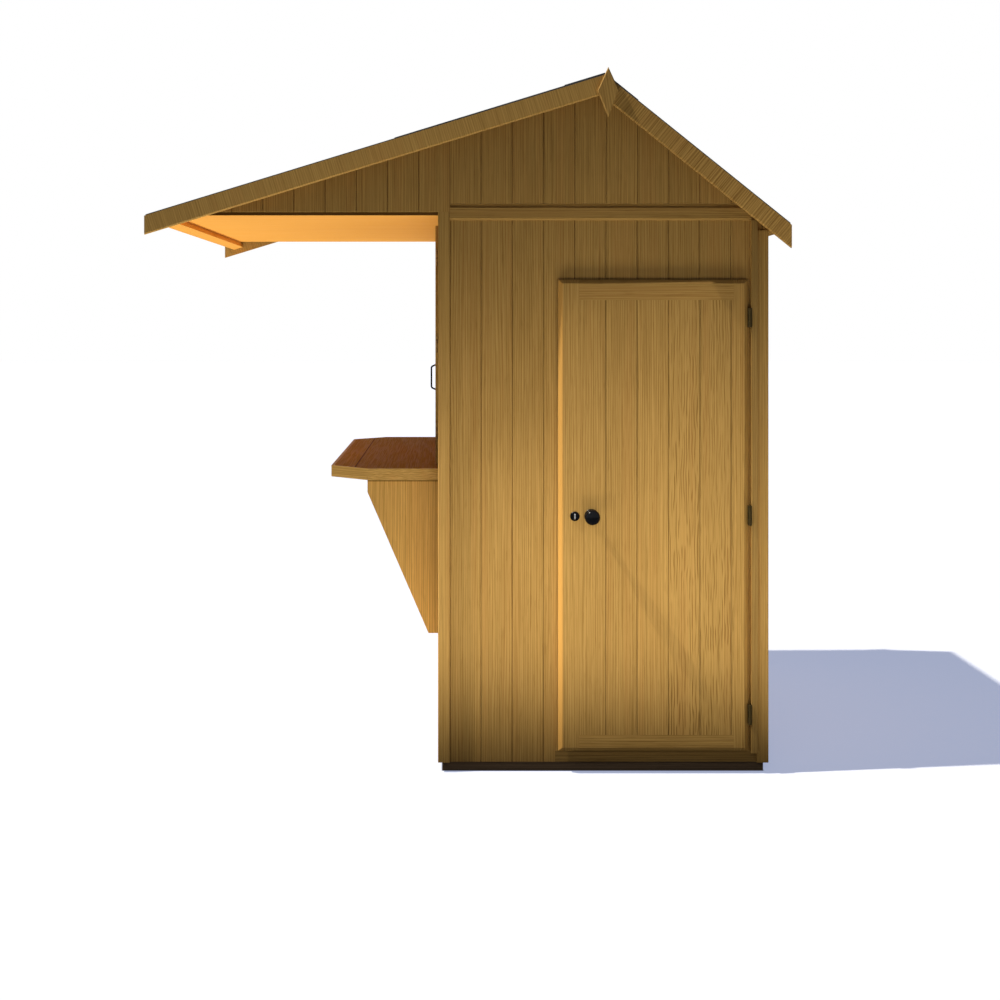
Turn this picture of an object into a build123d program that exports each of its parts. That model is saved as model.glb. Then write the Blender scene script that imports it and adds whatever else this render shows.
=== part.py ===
from build123d import *
import os
from math import asin, atan, cos, pi, radians, sin, sqrt, tan

# Garden bar: a small timber shed with a serving hatch and shelf on its long front (-Y), a deep canopy
# above them, a boarded back, a plain gable at -X and a gable with the door at +X.
# Millimetres, +Z up. The origin lies on the ground, under the centre of the shed's body.

# Body
body_width = 1830.0
body_depth = 1190.0
wall_height = 2005.0
cladding_thickness = 12.0
frame_thickness = 28.0
frame_width = 44.0
bottom_rail_height = 28.0

# Floor
bearer_width = 28.0
bearer_height = 44.0
bearer_count = 5
floor_thickness = 12.0
floor_clearance = 3.0
cladding_drop = 21.0

# Roof
rear_pitch = 38.8
canopy_reach = 1043.0
front_tip_drop = 3.4
rear_overhang = 68.0
gable_overhang = 72.0
felt_thickness = 3.0
roof_board_thickness = 12.0
barge_width = 64.0
barge_thickness = 15.0
barge_tip_lap = 8.0
felt_lip = 3.0
barge_bevel = 4.0
rafter_depth = 44.0
purlin_width = 28.0
ridge_beam_depth = 95.0
eave_batten_width = 44.0
eave_batten_depth = 28.0
eave_batten_setback = 36.0
wall_clearance = 2.0
soffit_thickness = 12.0
soffit_batten_count = 3

# Finials
finial_width = 76.0
finial_height = 178.0
finial_rise = 23.0
finial_widest = 84.0
finial_offset = 10.0
finial_thickness = 12.0
finial_bevel = 3.0

# Cover strips
corner_strip_width = 43.0
strip_thickness = 12.0
corner_bevel = 3.0
cover_strip_height = 45.0
cover_strip_lap = 18.0
cover_strip_bevel = 7.0
gable_reveal = 15.0

# Hatch and its shutters
hatch_width = 1360.0
hatch_sill_rise = 20.0
shutter_lap = 20.0
shutter_sill_lap = 10.0
shutter_thickness = 12.0
shutter_gap = 3.0
shutter_batten_height = 90.0
shutter_batten_depth = 22.0
shutter_batten_inset = 60.0
shutter_batten_end = 90.0

# Shelf
shelf_length = 1640.0
shelf_reach = 403.0
shelf_top = 1083.0
shelf_edge_height = 42.0
shelf_board_thickness = 22.0
shelf_chamfer = 145.0
shelf_front_board_width = 94.0
edging_thickness = 12.0
ledger_depth = 28.0
bearer_end_gap = 8.0
ledger_gap = 4.0
bracket_thickness = 28.0
bracket_inset = 8.0
bracket_reach = 260.0
bracket_nose = 45.0
bracket_drop = 562.0
bracket_foot = 36.0

# Door
door_width = 681.0
door_head_drop = 232.0
door_bottom = 80.0
door_thickness = 28.0
door_gap = 5.0
door_lap = 20.0
door_bevel = 14.0
latch_stile_width = 75.0
hinge_stile_width = 52.0
door_top_rail_height = 74.0
door_bottom_rail_height = 60.0
door_board_thickness = 12.0
ledge_height = 96.0
sill_height = 39.0
sill_lap = 30.0

# Door hinges
hinge_jamb_width = 22.0
hinge_gap = 12.0
hinge_axis_offset = 6.5
knuckle_radius = 5.5
hinge_pin_radius = 2.5
hinge_pin_clearance = 0.05
hinge_plate_thickness = 2.0
hinge_plate_inset = 4.0
hinge_height = 70.0
knuckle_gap = 0.4
hinge_top_inset = 137.0
hinge_bottom_inset = 133.0

# Lock and knobs
knob_setback = 119.0
keyhole_setback = 59.0
lock_height = 924.0
knob_radius = 28.0
knob_half_length = 22.0
knob_flats = 6
knob_reach = 60.0
knob_neck_radius = 11.0
spindle_radius = 5.0
spindle_clearance = 0.05
spindle_hole_radius = 7.0
rose_radius = 26.0
plate_thickness = 4.0
plate_bevel = 1.5
escutcheon_radius = 17.0
keyhole_radius = 3.5
keyhole_slot = 12.0
knob_play = 1.0
lock_case_length = 120.0
lock_case_height = 90.0
lock_case_depth = 20.0
lock_case_end = 38.0
inner_knob_scale = 0.86
keep_thickness = 3.0
keep_width = 24.0

# Pull handle
handle_height = 176.0
handle_bottom = 1305.0
handle_foot = 38.0
handle_plate_width = 20.0
handle_plate_thickness = 3.0
handle_rod_radius = 3.5
handle_standoff = 24.0
handle_bend = 9.0
handle_offset = 40.0
handle_splay = 10.0

# Shutter hinges
shutter_hinge_height = 60.0
shutter_hinge_leaf = 26.0
shutter_knuckle_radius = 4.5
shutter_hinge_inset = 120.0
shutter_knuckle_seat = 1.0

# Worked-out places of the body
half_width = body_width / 2
half_depth = body_depth / 2
clad_in_x = half_width - cladding_thickness
clad_in_y = half_depth - cladding_thickness
frame_in_x = clad_in_x - frame_thickness
frame_in_y = clad_in_y - frame_thickness
floor_top = bearer_height + floor_thickness
cladding_bottom = floor_top - cladding_drop
stud_bottom = floor_top + bottom_rail_height
top_rail_bottom = wall_height - frame_width
hatch_half = hatch_width / 2
hatch_sill = shelf_top + hatch_sill_rise

# Worked-out places of the roof: depths are measured square to each slope, from the felt's top
roof_build = felt_thickness + roof_board_thickness
rear_tan = tan(radians(rear_pitch))
rear_cos = cos(radians(rear_pitch))
rear_sin = sin(radians(rear_pitch))
ridge_height = wall_height + half_depth * rear_tan + roof_build / rear_cos
front_tip_y = -(half_depth + canopy_reach)
rear_tip_y = half_depth + rear_overhang
front_pitch = atan((ridge_height - wall_height + front_tip_drop) / -front_tip_y)
front_tan = tan(front_pitch)
front_cos = cos(front_pitch)
front_sin = sin(front_pitch)
barge_in_x = half_width + gable_overhang
barge_out_x = barge_in_x + barge_thickness
chord_top = wall_height + frame_width
soffit_top = wall_height + soffit_thickness
gable_frame_in_x = half_width - frame_thickness
strip_out_x = half_width + strip_thickness

# Worked-out places of the door
door_back_x = half_width + door_gap
door_face_x = door_back_x + door_thickness
strip_inner_y = half_depth - corner_strip_width
jamb_edge_y = strip_inner_y - hinge_jamb_width
hinge_edge_y = jamb_edge_y - hinge_gap
latch_edge_y = hinge_edge_y - door_width
door_top = wall_height - door_head_drop
opening_low_y = latch_edge_y + door_lap
opening_high_y = hinge_edge_y - door_lap
opening_top = door_top - door_lap
sill_top = cladding_bottom + sill_height
hinge_axis_x = door_face_x + knuckle_radius
hinge_axis_y = hinge_edge_y + hinge_axis_offset
knob_y = latch_edge_y + knob_setback
keyhole_y = latch_edge_y + keyhole_setback
case_low_y = latch_edge_y + lock_case_end


def front_z(y, depth):
    """Height of the front slope's layer at this depth."""
    return ridge_height + y * front_tan - depth / front_cos


def rear_z(y, depth):
    """Height of the rear slope's layer at this depth."""
    return ridge_height - y * rear_tan - depth / rear_cos


def ridge_point(depth):
    """Where the two slopes' layers at this depth meet."""
    y = depth * (1 / front_cos - 1 / rear_cos) / (front_tan + rear_tan)
    return y, front_z(y, depth)


def front_y(z, depth):
    """Where the front slope's layer has this height."""
    return (z - ridge_height + depth / front_cos) / front_tan


def rear_y(z, depth):
    """Where the rear slope's layer has this height."""
    return (ridge_height - depth / rear_cos - z) / rear_tan


def front_layer(y_end, top, bottom):
    """Outline of a layer of the front slope, cut plumb at its end and mitred at the ridge."""
    return [
        (y_end, front_z(y_end, top)),
        ridge_point(top),
        ridge_point(bottom),
        (y_end, front_z(y_end, bottom)),
    ]


def rear_layer(y_end, top, bottom):
    """Outline of a layer of the rear slope, cut plumb at its end and mitred at the ridge."""
    return [
        (y_end, rear_z(y_end, top)),
        ridge_point(top),
        ridge_point(bottom),
        (y_end, rear_z(y_end, bottom)),
    ]


def front_bar(y, width, top, bottom):
    """Section of a bar under the front slope, square to it. y is its upper outer corner."""
    z = front_z(y, top)
    drop = bottom - top
    return [
        (y, z),
        (y + width * front_cos, z + width * front_sin),
        (y + width * front_cos + drop * front_sin, z + width * front_sin - drop * front_cos),
        (y + drop * front_sin, z - drop * front_cos),
    ]


def rear_bar(y, width, top, bottom):
    """Section of a bar under the rear slope, square to it. y is its upper inner corner."""
    z = rear_z(y, top)
    drop = bottom - top
    return [
        (y, z),
        (y + width * rear_cos, z - width * rear_sin),
        (y + width * rear_cos - drop * rear_sin, z - width * rear_sin - drop * rear_cos),
        (y - drop * rear_sin, z - drop * rear_cos),
    ]


def add_block(x0, x1, y0, y1, z0, z1):
    """Adds a square-edged timber between two corners to the part being built."""
    with Locations(((x0 + x1) / 2, (y0 + y1) / 2, (z0 + z1) / 2)):
        Box(x1 - x0, y1 - y0, z1 - z0)


def add_section(points, x0, x1):
    """Adds a piece with this outline in Y and Z, which runs along X, to the part being built."""
    with BuildSketch(Plane.YZ.offset(x0)) as section:
        with BuildLine():
            Polyline(*points, close=True)
        make_face()
    extrude(section.sketch, amount=x1 - x0)


def save(piece, name):
    """Labels a finished piece and writes its STEP file."""
    piece.part.label = name
    export_step(piece.part, f"parts/{name}.step")


os.makedirs("parts", exist_ok=True)

# Floor: bearers from front to back, boarded over
floor_half_x = clad_in_x - floor_clearance
floor_half_y = clad_in_y - floor_clearance
bearer_pitch = (2 * floor_half_x - bearer_width) / (bearer_count - 1)

with BuildPart() as floor_bearers:
    with GridLocations(bearer_pitch, 1, bearer_count, 1):
        Box(bearer_width, 2 * floor_half_y, bearer_height, align=(Align.CENTER, Align.CENTER, Align.MIN))
save(floor_bearers, "floor_bearers")

with BuildPart() as floor_boards:
    add_block(-floor_half_x, floor_half_x, -floor_half_y, floor_half_y, bearer_height, floor_top)
save(floor_boards, "floor_boards")


# Cladding of the walls. The front and back run the full width, and the gables fit between them.
with BuildPart() as left_wall:
    add_block(-half_width, -clad_in_x, -clad_in_y, clad_in_y, cladding_bottom, wall_height)
save(left_wall, "left_wall")

back_wall_top = rear_z(half_depth, roof_build) - wall_clearance
with BuildPart() as back_wall:
    add_block(-half_width, half_width, clad_in_y, half_depth, cladding_bottom, back_wall_top)
save(back_wall, "back_wall")

with BuildPart() as front_wall_lower:
    add_block(-half_width, half_width, -half_depth, -clad_in_y, cladding_bottom, hatch_sill)
save(front_wall_lower, "front_wall_lower")

with BuildPart() as front_wall_sides:
    add_block(-half_width, -hatch_half, -half_depth, -clad_in_y, hatch_sill, top_rail_bottom)
    add_block(hatch_half, half_width, -half_depth, -clad_in_y, hatch_sill, top_rail_bottom)
save(front_wall_sides, "front_wall_sides")

with BuildPart() as front_wall_upper:
    add_block(-half_width, half_width, -half_depth, -clad_in_y, top_rail_bottom, wall_height)
save(front_wall_upper, "front_wall_upper")

# The gable with the door: cladding in front of, behind and over the doorway, notched over the sill
sill_low_y = opening_low_y - sill_lap
with BuildPart() as right_wall_front:
    add_section(
        [
            (-clad_in_y, cladding_bottom),
            (sill_low_y, cladding_bottom),
            (sill_low_y, sill_top),
            (opening_low_y, sill_top),
            (opening_low_y, wall_height),
            (-clad_in_y, wall_height),
        ],
        clad_in_x,
        half_width,
    )
save(right_wall_front, "right_wall_front")

with BuildPart() as right_wall_rear:
    add_section(
        [
            (clad_in_y, cladding_bottom),
            (strip_inner_y, cladding_bottom),
            (strip_inner_y, sill_top),
            (opening_high_y, sill_top),
            (opening_high_y, wall_height),
            (clad_in_y, wall_height),
        ],
        clad_in_x,
        half_width,
    )
save(right_wall_rear, "right_wall_rear")

with BuildPart() as right_wall_header:
    add_block(clad_in_x, half_width, opening_low_y, opening_high_y, opening_top, wall_height)
save(right_wall_header, "right_wall_header")

with BuildPart() as door_sill:
    add_block(clad_in_x, half_width, sill_low_y, strip_inner_y, cladding_bottom, sill_top)
save(door_sill, "door_sill")


# Framing of the walls: studs between the rails, side frames fitted between the front and back ones
def add_stud(x0, x1, y0, y1, top):
    """Adds one upright of a wall frame."""
    add_block(x0, x1, y0, y1, stud_bottom, top)


back_stud_xs = (-clad_in_x / 2, 0.0, clad_in_x / 2)
with BuildPart() as front_back_studs:
    for side in (-1, 1):
        corner = sorted((side * clad_in_x, side * (clad_in_x - frame_width)))
        beside = sorted((side * hatch_half, side * (hatch_half + frame_width)))
        add_stud(*corner, -clad_in_y, -frame_in_y, top_rail_bottom)
        add_stud(*corner, frame_in_y, clad_in_y, top_rail_bottom)
        add_stud(*beside, -clad_in_y, -frame_in_y, top_rail_bottom)
    add_stud(-frame_width / 2, frame_width / 2, -clad_in_y, -frame_in_y, hatch_sill - frame_width)
    for x in back_stud_xs:
        add_stud(x - frame_width / 2, x + frame_width / 2, frame_in_y, clad_in_y, top_rail_bottom)
save(front_back_studs, "front_back_studs")

with BuildPart() as side_studs:
    for y in (-frame_in_y, -frame_width / 2, frame_in_y - frame_width):
        add_stud(-clad_in_x, -frame_in_x, y, y + frame_width, top_rail_bottom)
    add_stud(frame_in_x, clad_in_x, -frame_in_y, -frame_in_y + frame_width, top_rail_bottom)
    add_stud(frame_in_x, clad_in_x, opening_low_y - frame_width, opening_low_y, top_rail_bottom)
    add_stud(frame_in_x, clad_in_x, opening_high_y, frame_in_y, top_rail_bottom)
save(side_studs, "side_studs")

with BuildPart() as front_back_rails:
    for y0, y1 in ((-clad_in_y, -frame_in_y), (frame_in_y, clad_in_y)):
        add_block(-clad_in_x, clad_in_x, y0, y1, floor_top, stud_bottom)
        add_block(-clad_in_x, clad_in_x, y0, y1, top_rail_bottom, wall_height)
    add_block(-hatch_half, hatch_half, -clad_in_y, -frame_in_y, hatch_sill - frame_width, hatch_sill)
save(front_back_rails, "front_back_rails")

with BuildPart() as side_rails:
    add_block(-clad_in_x, -frame_in_x, -frame_in_y, frame_in_y, floor_top, stud_bottom)
    add_block(-clad_in_x, -frame_in_x, -frame_in_y, frame_in_y, top_rail_bottom, wall_height)
    add_block(frame_in_x, clad_in_x, -frame_in_y, opening_low_y, floor_top, stud_bottom)
    add_block(frame_in_x, clad_in_x, opening_high_y, frame_in_y, floor_top, stud_bottom)
    add_block(frame_in_x, clad_in_x, -frame_in_y, frame_in_y, top_rail_bottom, wall_height)
    add_block(frame_in_x, clad_in_x, opening_low_y, opening_high_y, opening_top, opening_top + frame_width)
save(side_rails, "side_rails")


# Canopy and roof frame. The eave battens run from barge to barge, and the gables stop behind them.
front_batten_y = front_tip_y + eave_batten_setback
front_batten_outline = front_bar(
    front_batten_y, eave_batten_width, roof_build, roof_build + eave_batten_depth
)
batten_inner_y, batten_inner_z = front_batten_outline[1]
canopy_end_y = batten_inner_y + (batten_inner_z - wall_height) * front_tan
rear_batten_y = half_depth + wall_clearance + eave_batten_depth * rear_sin

with BuildPart() as front_eave_batten:
    add_section(front_batten_outline, -barge_in_x, barge_in_x)
save(front_eave_batten, "front_eave_batten")

with BuildPart() as rear_eave_batten:
    add_section(
        rear_bar(rear_batten_y, eave_batten_width, roof_build, roof_build + eave_batten_depth),
        -barge_in_x,
        barge_in_x,
    )
save(rear_eave_batten, "rear_eave_batten")

# The gables stand on the walls. Their panels are nailed outside them, flush with the corner strips, and
# leave a reveal over the cover strips.
cover_strip_bottom = wall_height - cover_strip_lap
cover_strip_top = cover_strip_bottom + cover_strip_height
panel_low_z = cover_strip_top + gable_reveal
panel_tip = (front_y(soffit_top, roof_build), soffit_top)
gable_outline = [
    panel_tip,
    ridge_point(roof_build),
    (rear_y(panel_low_z, roof_build), panel_low_z),
    (-strip_inner_y, panel_low_z),
    (-strip_inner_y, soffit_top),
]
with BuildPart() as gable_panels:
    add_section(gable_outline, half_width, strip_out_x)
    add_section(gable_outline, -strip_out_x, -half_width)
save(gable_panels, "gable_panels")

chord_outline = [
    (-half_depth, wall_height),
    (-half_depth, soffit_top),
    panel_tip,
    (front_y(chord_top, roof_build), chord_top),
    (rear_y(chord_top, roof_build), chord_top),
    (clad_in_y, rear_z(clad_in_y, roof_build)),
    (clad_in_y, wall_height),
]
with BuildPart() as gable_chords:
    add_section(chord_outline, gable_frame_in_x, half_width)
    add_section(chord_outline, -half_width, -gable_frame_in_x)
save(gable_chords, "gable_chords")

rafter_bottom = roof_build + rafter_depth
front_rafter_outline = [
    (front_y(chord_top, roof_build), chord_top),
    ridge_point(roof_build),
    ridge_point(rafter_bottom),
    (front_y(chord_top, rafter_bottom), chord_top),
]
rear_rafter_outline = [
    (rear_y(chord_top, roof_build), chord_top),
    ridge_point(roof_build),
    ridge_point(rafter_bottom),
    (rear_y(chord_top, rafter_bottom), chord_top),
]
with BuildPart() as front_rafters:
    add_section(front_rafter_outline, gable_frame_in_x, half_width)
    add_section(front_rafter_outline, -half_width, -gable_frame_in_x)
save(front_rafters, "front_rafters")

with BuildPart() as rear_rafters:
    add_section(rear_rafter_outline, gable_frame_in_x, half_width)
    add_section(rear_rafter_outline, -half_width, -gable_frame_in_x)
save(rear_rafters, "rear_rafters")

ridge_y, ridge_z = ridge_point(roof_build)
ridge_low_y = ridge_y - purlin_width / 2
ridge_high_y = ridge_y + purlin_width / 2
front_purlin_ys = (front_tip_y * 2 / 3, front_tip_y / 3)
purlin_ends = (-gable_frame_in_x, gable_frame_in_x)
with BuildPart() as roof_purlins:
    add_section(
        [
            (ridge_low_y, ridge_z - ridge_beam_depth),
            (ridge_low_y, front_z(ridge_low_y, roof_build)),
            (ridge_y, ridge_z),
            (ridge_high_y, rear_z(ridge_high_y, roof_build)),
            (ridge_high_y, ridge_z - ridge_beam_depth),
        ],
        *purlin_ends,
    )
    for y in front_purlin_ys:
        add_section(front_bar(y, purlin_width, roof_build, rafter_bottom), *purlin_ends)
    add_section(rear_bar(half_depth / 2, purlin_width, roof_build, rafter_bottom), *purlin_ends)
save(roof_purlins, "roof_purlins")

# The soffit closes the canopy to its sides, and a tongue of it lies on the top rail between the gables
with BuildPart() as canopy_soffit:
    add_section(
        [
            (-half_depth, wall_height),
            (-half_depth, soffit_top),
            panel_tip,
            (batten_inner_y, batten_inner_z),
            (canopy_end_y, wall_height),
        ],
        -half_width,
        half_width,
    )
    add_block(*purlin_ends, -half_depth, -frame_in_y, wall_height, soffit_top)
save(canopy_soffit, "canopy_soffit")

soffit_batten_pitch = canopy_reach / soffit_batten_count
with BuildPart() as soffit_battens:
    for index in range(soffit_batten_count):
        y = -frame_in_y - index * soffit_batten_pitch
        add_block(*purlin_ends, y - frame_thickness, y, soffit_top, soffit_top + frame_width)
save(soffit_battens, "soffit_battens")


# Roof skin: boards, felt over them and over the barges, and the barge boards with their finials
front_board_y = front_tip_y + barge_tip_lap
rear_board_y = rear_tip_y - barge_tip_lap
barge_bottom = felt_thickness + barge_width

with BuildPart() as front_roof_board:
    add_section(front_layer(front_board_y, felt_thickness, roof_build), -barge_in_x, barge_in_x)
save(front_roof_board, "front_roof_board")

with BuildPart() as rear_roof_board:
    add_section(rear_layer(rear_board_y, felt_thickness, roof_build), -barge_in_x, barge_in_x)
save(rear_roof_board, "rear_roof_board")

with BuildPart() as front_roof_felt:
    add_section(front_layer(front_board_y - felt_lip, 0, felt_thickness), -barge_out_x, barge_out_x)
save(front_roof_felt, "front_roof_felt")

with BuildPart() as rear_roof_felt:
    add_section(rear_layer(rear_board_y + felt_lip, 0, felt_thickness), -barge_out_x, barge_out_x)
save(rear_roof_felt, "rear_roof_felt")


def add_barges(outline):
    """Adds a pair of barge boards, one at each gable, with their lower outer edges bevelled."""
    add_section(outline, barge_in_x, barge_out_x)
    add_section(outline, -barge_out_x, -barge_in_x)
    for outer_face in (faces().sort_by(Axis.X)[0], faces().sort_by(Axis.X)[-1]):
        long_edges = outer_face.edges().sort_by(SortBy.LENGTH)[-2:]
        chamfer(long_edges.sort_by(Axis.Z)[0], length=barge_bevel)


with BuildPart() as front_barge_boards:
    add_barges(front_layer(front_tip_y, felt_thickness, barge_bottom))
save(front_barge_boards, "front_barge_boards")

with BuildPart() as rear_barge_boards:
    add_barges(rear_layer(rear_tip_y, felt_thickness, barge_bottom))
save(rear_barge_boards, "rear_barge_boards")

finial_top = ridge_height + finial_rise
finial_outline = [
    (finial_offset, finial_top),
    (finial_offset + finial_width / 2, finial_top - finial_widest),
    (finial_offset, finial_top - finial_height),
    (finial_offset - finial_width / 2, finial_top - finial_widest),
]
with BuildPart() as finials:
    add_section(finial_outline, barge_out_x, barge_out_x + finial_thickness)
    add_section(finial_outline, -barge_out_x - finial_thickness, -barge_out_x)
    face_ends = faces().filter_by(Axis.X)
    chamfer(face_ends.sort_by(Axis.X)[-1].edges() + face_ends.sort_by(Axis.X)[0].edges(), length=finial_bevel)
save(finials, "finials")


# Cover strips over the corners and over the joint between wall and gable. The rear ones reach the eave.
rear_strip_top = rear_z(half_depth, barge_bottom) + strip_thickness
with BuildPart() as corner_strips:
    for y0, y1, top in (
        (-half_depth, -strip_inner_y, soffit_top),
        (strip_inner_y, half_depth, rear_strip_top),
    ):
        add_block(half_width, strip_out_x, y0, y1, cladding_bottom, top)
        add_block(-strip_out_x, -half_width, y0, y1, cladding_bottom, top)
    uprights = edges().filter_by(Axis.Z)
    chamfer(uprights.group_by(Axis.X)[0] + uprights.group_by(Axis.X)[-1], length=corner_bevel)
save(corner_strips, "corner_strips")

with BuildPart() as gable_cover_strips:
    for x0, x1 in ((half_width, strip_out_x), (-strip_out_x, -half_width)):
        add_block(x0, x1, -strip_inner_y, strip_inner_y, cover_strip_bottom, cover_strip_top)
    lower_edges = edges().filter_by(Axis.Y).group_by(Axis.Z)[0]
    chamfer([lower_edges.sort_by(Axis.X)[0], lower_edges.sort_by(Axis.X)[-1]], length=cover_strip_bevel)
save(gable_cover_strips, "gable_cover_strips")


# Serving shelf: boards inside a deep edging, on bearers, a ledger and two cut brackets
def add_shelf_outline(half_length, front, corner):
    """Draws the shelf's plan, with its outer corners cut off, in the sketch being built."""
    with BuildLine() as plan:
        Polyline(
            (-half_length, -half_depth),
            (-half_length, front + corner),
            (-half_length + corner, front),
            (half_length - corner, front),
            (half_length, front + corner),
            (half_length, -half_depth),
            close=True,
        )
    make_face(plan.line.edges())


shelf_half = shelf_length / 2
shelf_front = -half_depth - shelf_reach
shelf_bottom = shelf_top - shelf_edge_height
board_bottom = shelf_top - shelf_board_thickness
inner_half = shelf_half - edging_thickness
inner_front = shelf_front + edging_thickness
inner_corner = shelf_chamfer - edging_thickness * (2 - sqrt(2))
shelf_joint_y = shelf_front + shelf_front_board_width

with BuildPart() as shelf_edging:
    with BuildSketch(Plane.XY.offset(shelf_bottom)):
        add_shelf_outline(shelf_half, shelf_front, shelf_chamfer)
    extrude(amount=shelf_edge_height)
    with BuildSketch(Plane.XY.offset(shelf_bottom)):
        add_shelf_outline(inner_half, inner_front, inner_corner)
    extrude(amount=shelf_edge_height, mode=Mode.SUBTRACT)
save(shelf_edging, "shelf_edging")

with BuildPart() as shelf_main_board:
    with BuildSketch(Plane.XY.offset(board_bottom)):
        add_shelf_outline(inner_half, inner_front, inner_corner)
    extrude(amount=shelf_board_thickness)
    split(bisect_by=Plane.XZ.offset(-shelf_joint_y), keep=Keep.BOTTOM)
save(shelf_main_board, "shelf_main_board")

with BuildPart() as shelf_front_board:
    with BuildSketch(Plane.XY.offset(board_bottom)):
        add_shelf_outline(inner_half, inner_front, inner_corner)
    extrude(amount=shelf_board_thickness)
    split(bisect_by=Plane.XZ.offset(-shelf_joint_y), keep=Keep.TOP)
save(shelf_front_board, "shelf_front_board")

bracket_out_x = shelf_half - bracket_inset
bracket_in_x = bracket_out_x - bracket_thickness
bearer_front_y = inner_front + inner_corner + bearer_end_gap
with BuildPart() as shelf_bearers:
    for x0, x1 in ((bracket_in_x, inner_half), (-inner_half, -bracket_in_x)):
        add_block(x0, x1, bearer_front_y, -half_depth, shelf_bottom, board_bottom)
    ledger_half = bracket_in_x - ledger_gap
    ledger_bottom = board_bottom - frame_width
    add_block(-ledger_half, ledger_half, -half_depth - ledger_depth, -half_depth, ledger_bottom, board_bottom)
save(shelf_bearers, "shelf_bearers")

bracket_outline = [
    (-half_depth, shelf_bottom),
    (-half_depth - bracket_reach, shelf_bottom),
    (-half_depth - bracket_reach, shelf_bottom - bracket_nose),
    (-half_depth - bracket_foot, shelf_bottom - bracket_drop),
    (-half_depth, shelf_bottom - bracket_drop),
]
with BuildPart() as shelf_brackets:
    add_section(bracket_outline, bracket_in_x, bracket_out_x)
    add_section(bracket_outline, -bracket_out_x, -bracket_in_x)
save(shelf_brackets, "shelf_brackets")


# Serving hatch: a pair of side-hung shutters, shut, on edge hinges
shutter_face_y = -half_depth - shutter_thickness
shutter_out_x = hatch_half + shutter_lap
shutter_bottom = hatch_sill - shutter_sill_lap
shutter_top = top_rail_bottom + shutter_lap
with BuildPart() as shutters:
    for x0, x1 in ((shutter_gap / 2, shutter_out_x), (-shutter_out_x, -shutter_gap / 2)):
        add_block(x0, x1, shutter_face_y, -half_depth, shutter_bottom, shutter_top)
save(shutters, "shutters")

with BuildPart() as shutter_battens:
    low_z = hatch_sill + shutter_batten_end
    high_z = top_rail_bottom - shutter_batten_end - shutter_batten_height
    for z in (low_z, high_z):
        for side in (-1, 1):
            x0, x1 = sorted((side * shutter_batten_inset, side * (hatch_half - shutter_batten_inset)))
            add_block(x0, x1, -half_depth, -half_depth + shutter_batten_depth, z, z + shutter_batten_height)
save(shutter_battens, "shutter_battens")

shutter_knuckle_x = shutter_out_x + hinge_plate_thickness + shutter_knuckle_radius
shutter_knuckle_y = -half_depth - hinge_plate_thickness - shutter_knuckle_radius + shutter_knuckle_seat
edge_leaf_x = shutter_out_x + hinge_plate_thickness + shutter_knuckle_seat
shutter_hinge_zs = (
    shutter_bottom + shutter_hinge_inset,
    (shutter_bottom + shutter_top) / 2,
    shutter_top - shutter_hinge_inset,
)
with BuildPart() as shutter_hinges:
    for z in shutter_hinge_zs:
        low = z - shutter_hinge_height / 2
        high = z + shutter_hinge_height / 2
        for side in (-1, 1):
            with BuildSketch(Plane.XY.offset(low)):
                with Locations((side * shutter_knuckle_x, shutter_knuckle_y)):
                    Circle(shutter_knuckle_radius)
            extrude(amount=shutter_hinge_height)
            wall_leaf = sorted((side * shutter_knuckle_x, side * (shutter_knuckle_x + shutter_hinge_leaf)))
            add_block(*wall_leaf, -half_depth - hinge_plate_thickness, -half_depth, low, high)
            edge_leaf = sorted((side * shutter_out_x, side * edge_leaf_x))
            add_block(*edge_leaf, shutter_knuckle_y, -half_depth - hinge_plate_thickness, low, high)
save(shutter_hinges, "shutter_hinges")


# Bow handle on the right-hand shutter, next to the meeting line
handle_top = handle_bottom + handle_height
grip_y = shutter_face_y - handle_standoff
plate_face_y = shutter_face_y - handle_plate_thickness
rod_end_y = plate_face_y + handle_plate_thickness / 2
with BuildPart() as pull_handle:
    for z0 in (handle_bottom, handle_top - handle_foot):
        add_block(
            handle_offset - handle_plate_width / 2,
            handle_offset + handle_plate_width / 2,
            plate_face_y,
            shutter_face_y,
            z0,
            z0 + handle_foot,
        )
    low_seat_z = handle_bottom + handle_foot - handle_rod_radius
    high_seat_z = handle_top - handle_foot + handle_rod_radius
    with BuildLine(Plane.YZ.offset(handle_offset)) as bow:
        FilletPolyline(
            (rod_end_y, low_seat_z),
            (grip_y, low_seat_z + handle_splay),
            (grip_y, high_seat_z - handle_splay),
            (rod_end_y, high_seat_z),
            radius=handle_bend,
        )
    with BuildSketch(Plane(origin=bow.line @ 0, z_dir=bow.line % 0)):
        Circle(handle_rod_radius)
    sweep(path=bow.line)
save(pull_handle, "pull_handle")


# Door leaf: stiles and rails with a chamfered rim, boards flush between them and ledges behind
panel_low_y = latch_edge_y + latch_stile_width
panel_high_y = hinge_edge_y - hinge_stile_width
panel_bottom = door_bottom + door_bottom_rail_height
panel_top = door_top - door_top_rail_height
board_back_x = door_face_x - door_board_thickness


def rim_edges():
    """Edges of the door's face that lie on the leaf's outline."""
    front = edges().group_by(Axis.X)[-1]
    return front.filter_by(
        lambda edge: min(
            abs(edge.center().Y - latch_edge_y),
            abs(edge.center().Y - hinge_edge_y),
            abs(edge.center().Z - door_bottom),
            abs(edge.center().Z - door_top),
        )
        < door_bevel / 2
    )


with BuildPart() as door_stiles:
    add_block(door_back_x, door_face_x, latch_edge_y, panel_low_y, door_bottom, door_top)
    add_block(door_back_x, door_face_x, panel_high_y, hinge_edge_y, door_bottom, door_top)
    chamfer(rim_edges(), length=door_bevel)
    with Locations(Location(Plane.YZ.offset(door_face_x))):
        with Locations((keyhole_y, lock_height)):
            Hole(spindle_hole_radius, depth=door_thickness)
save(door_stiles, "door_stiles")

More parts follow.
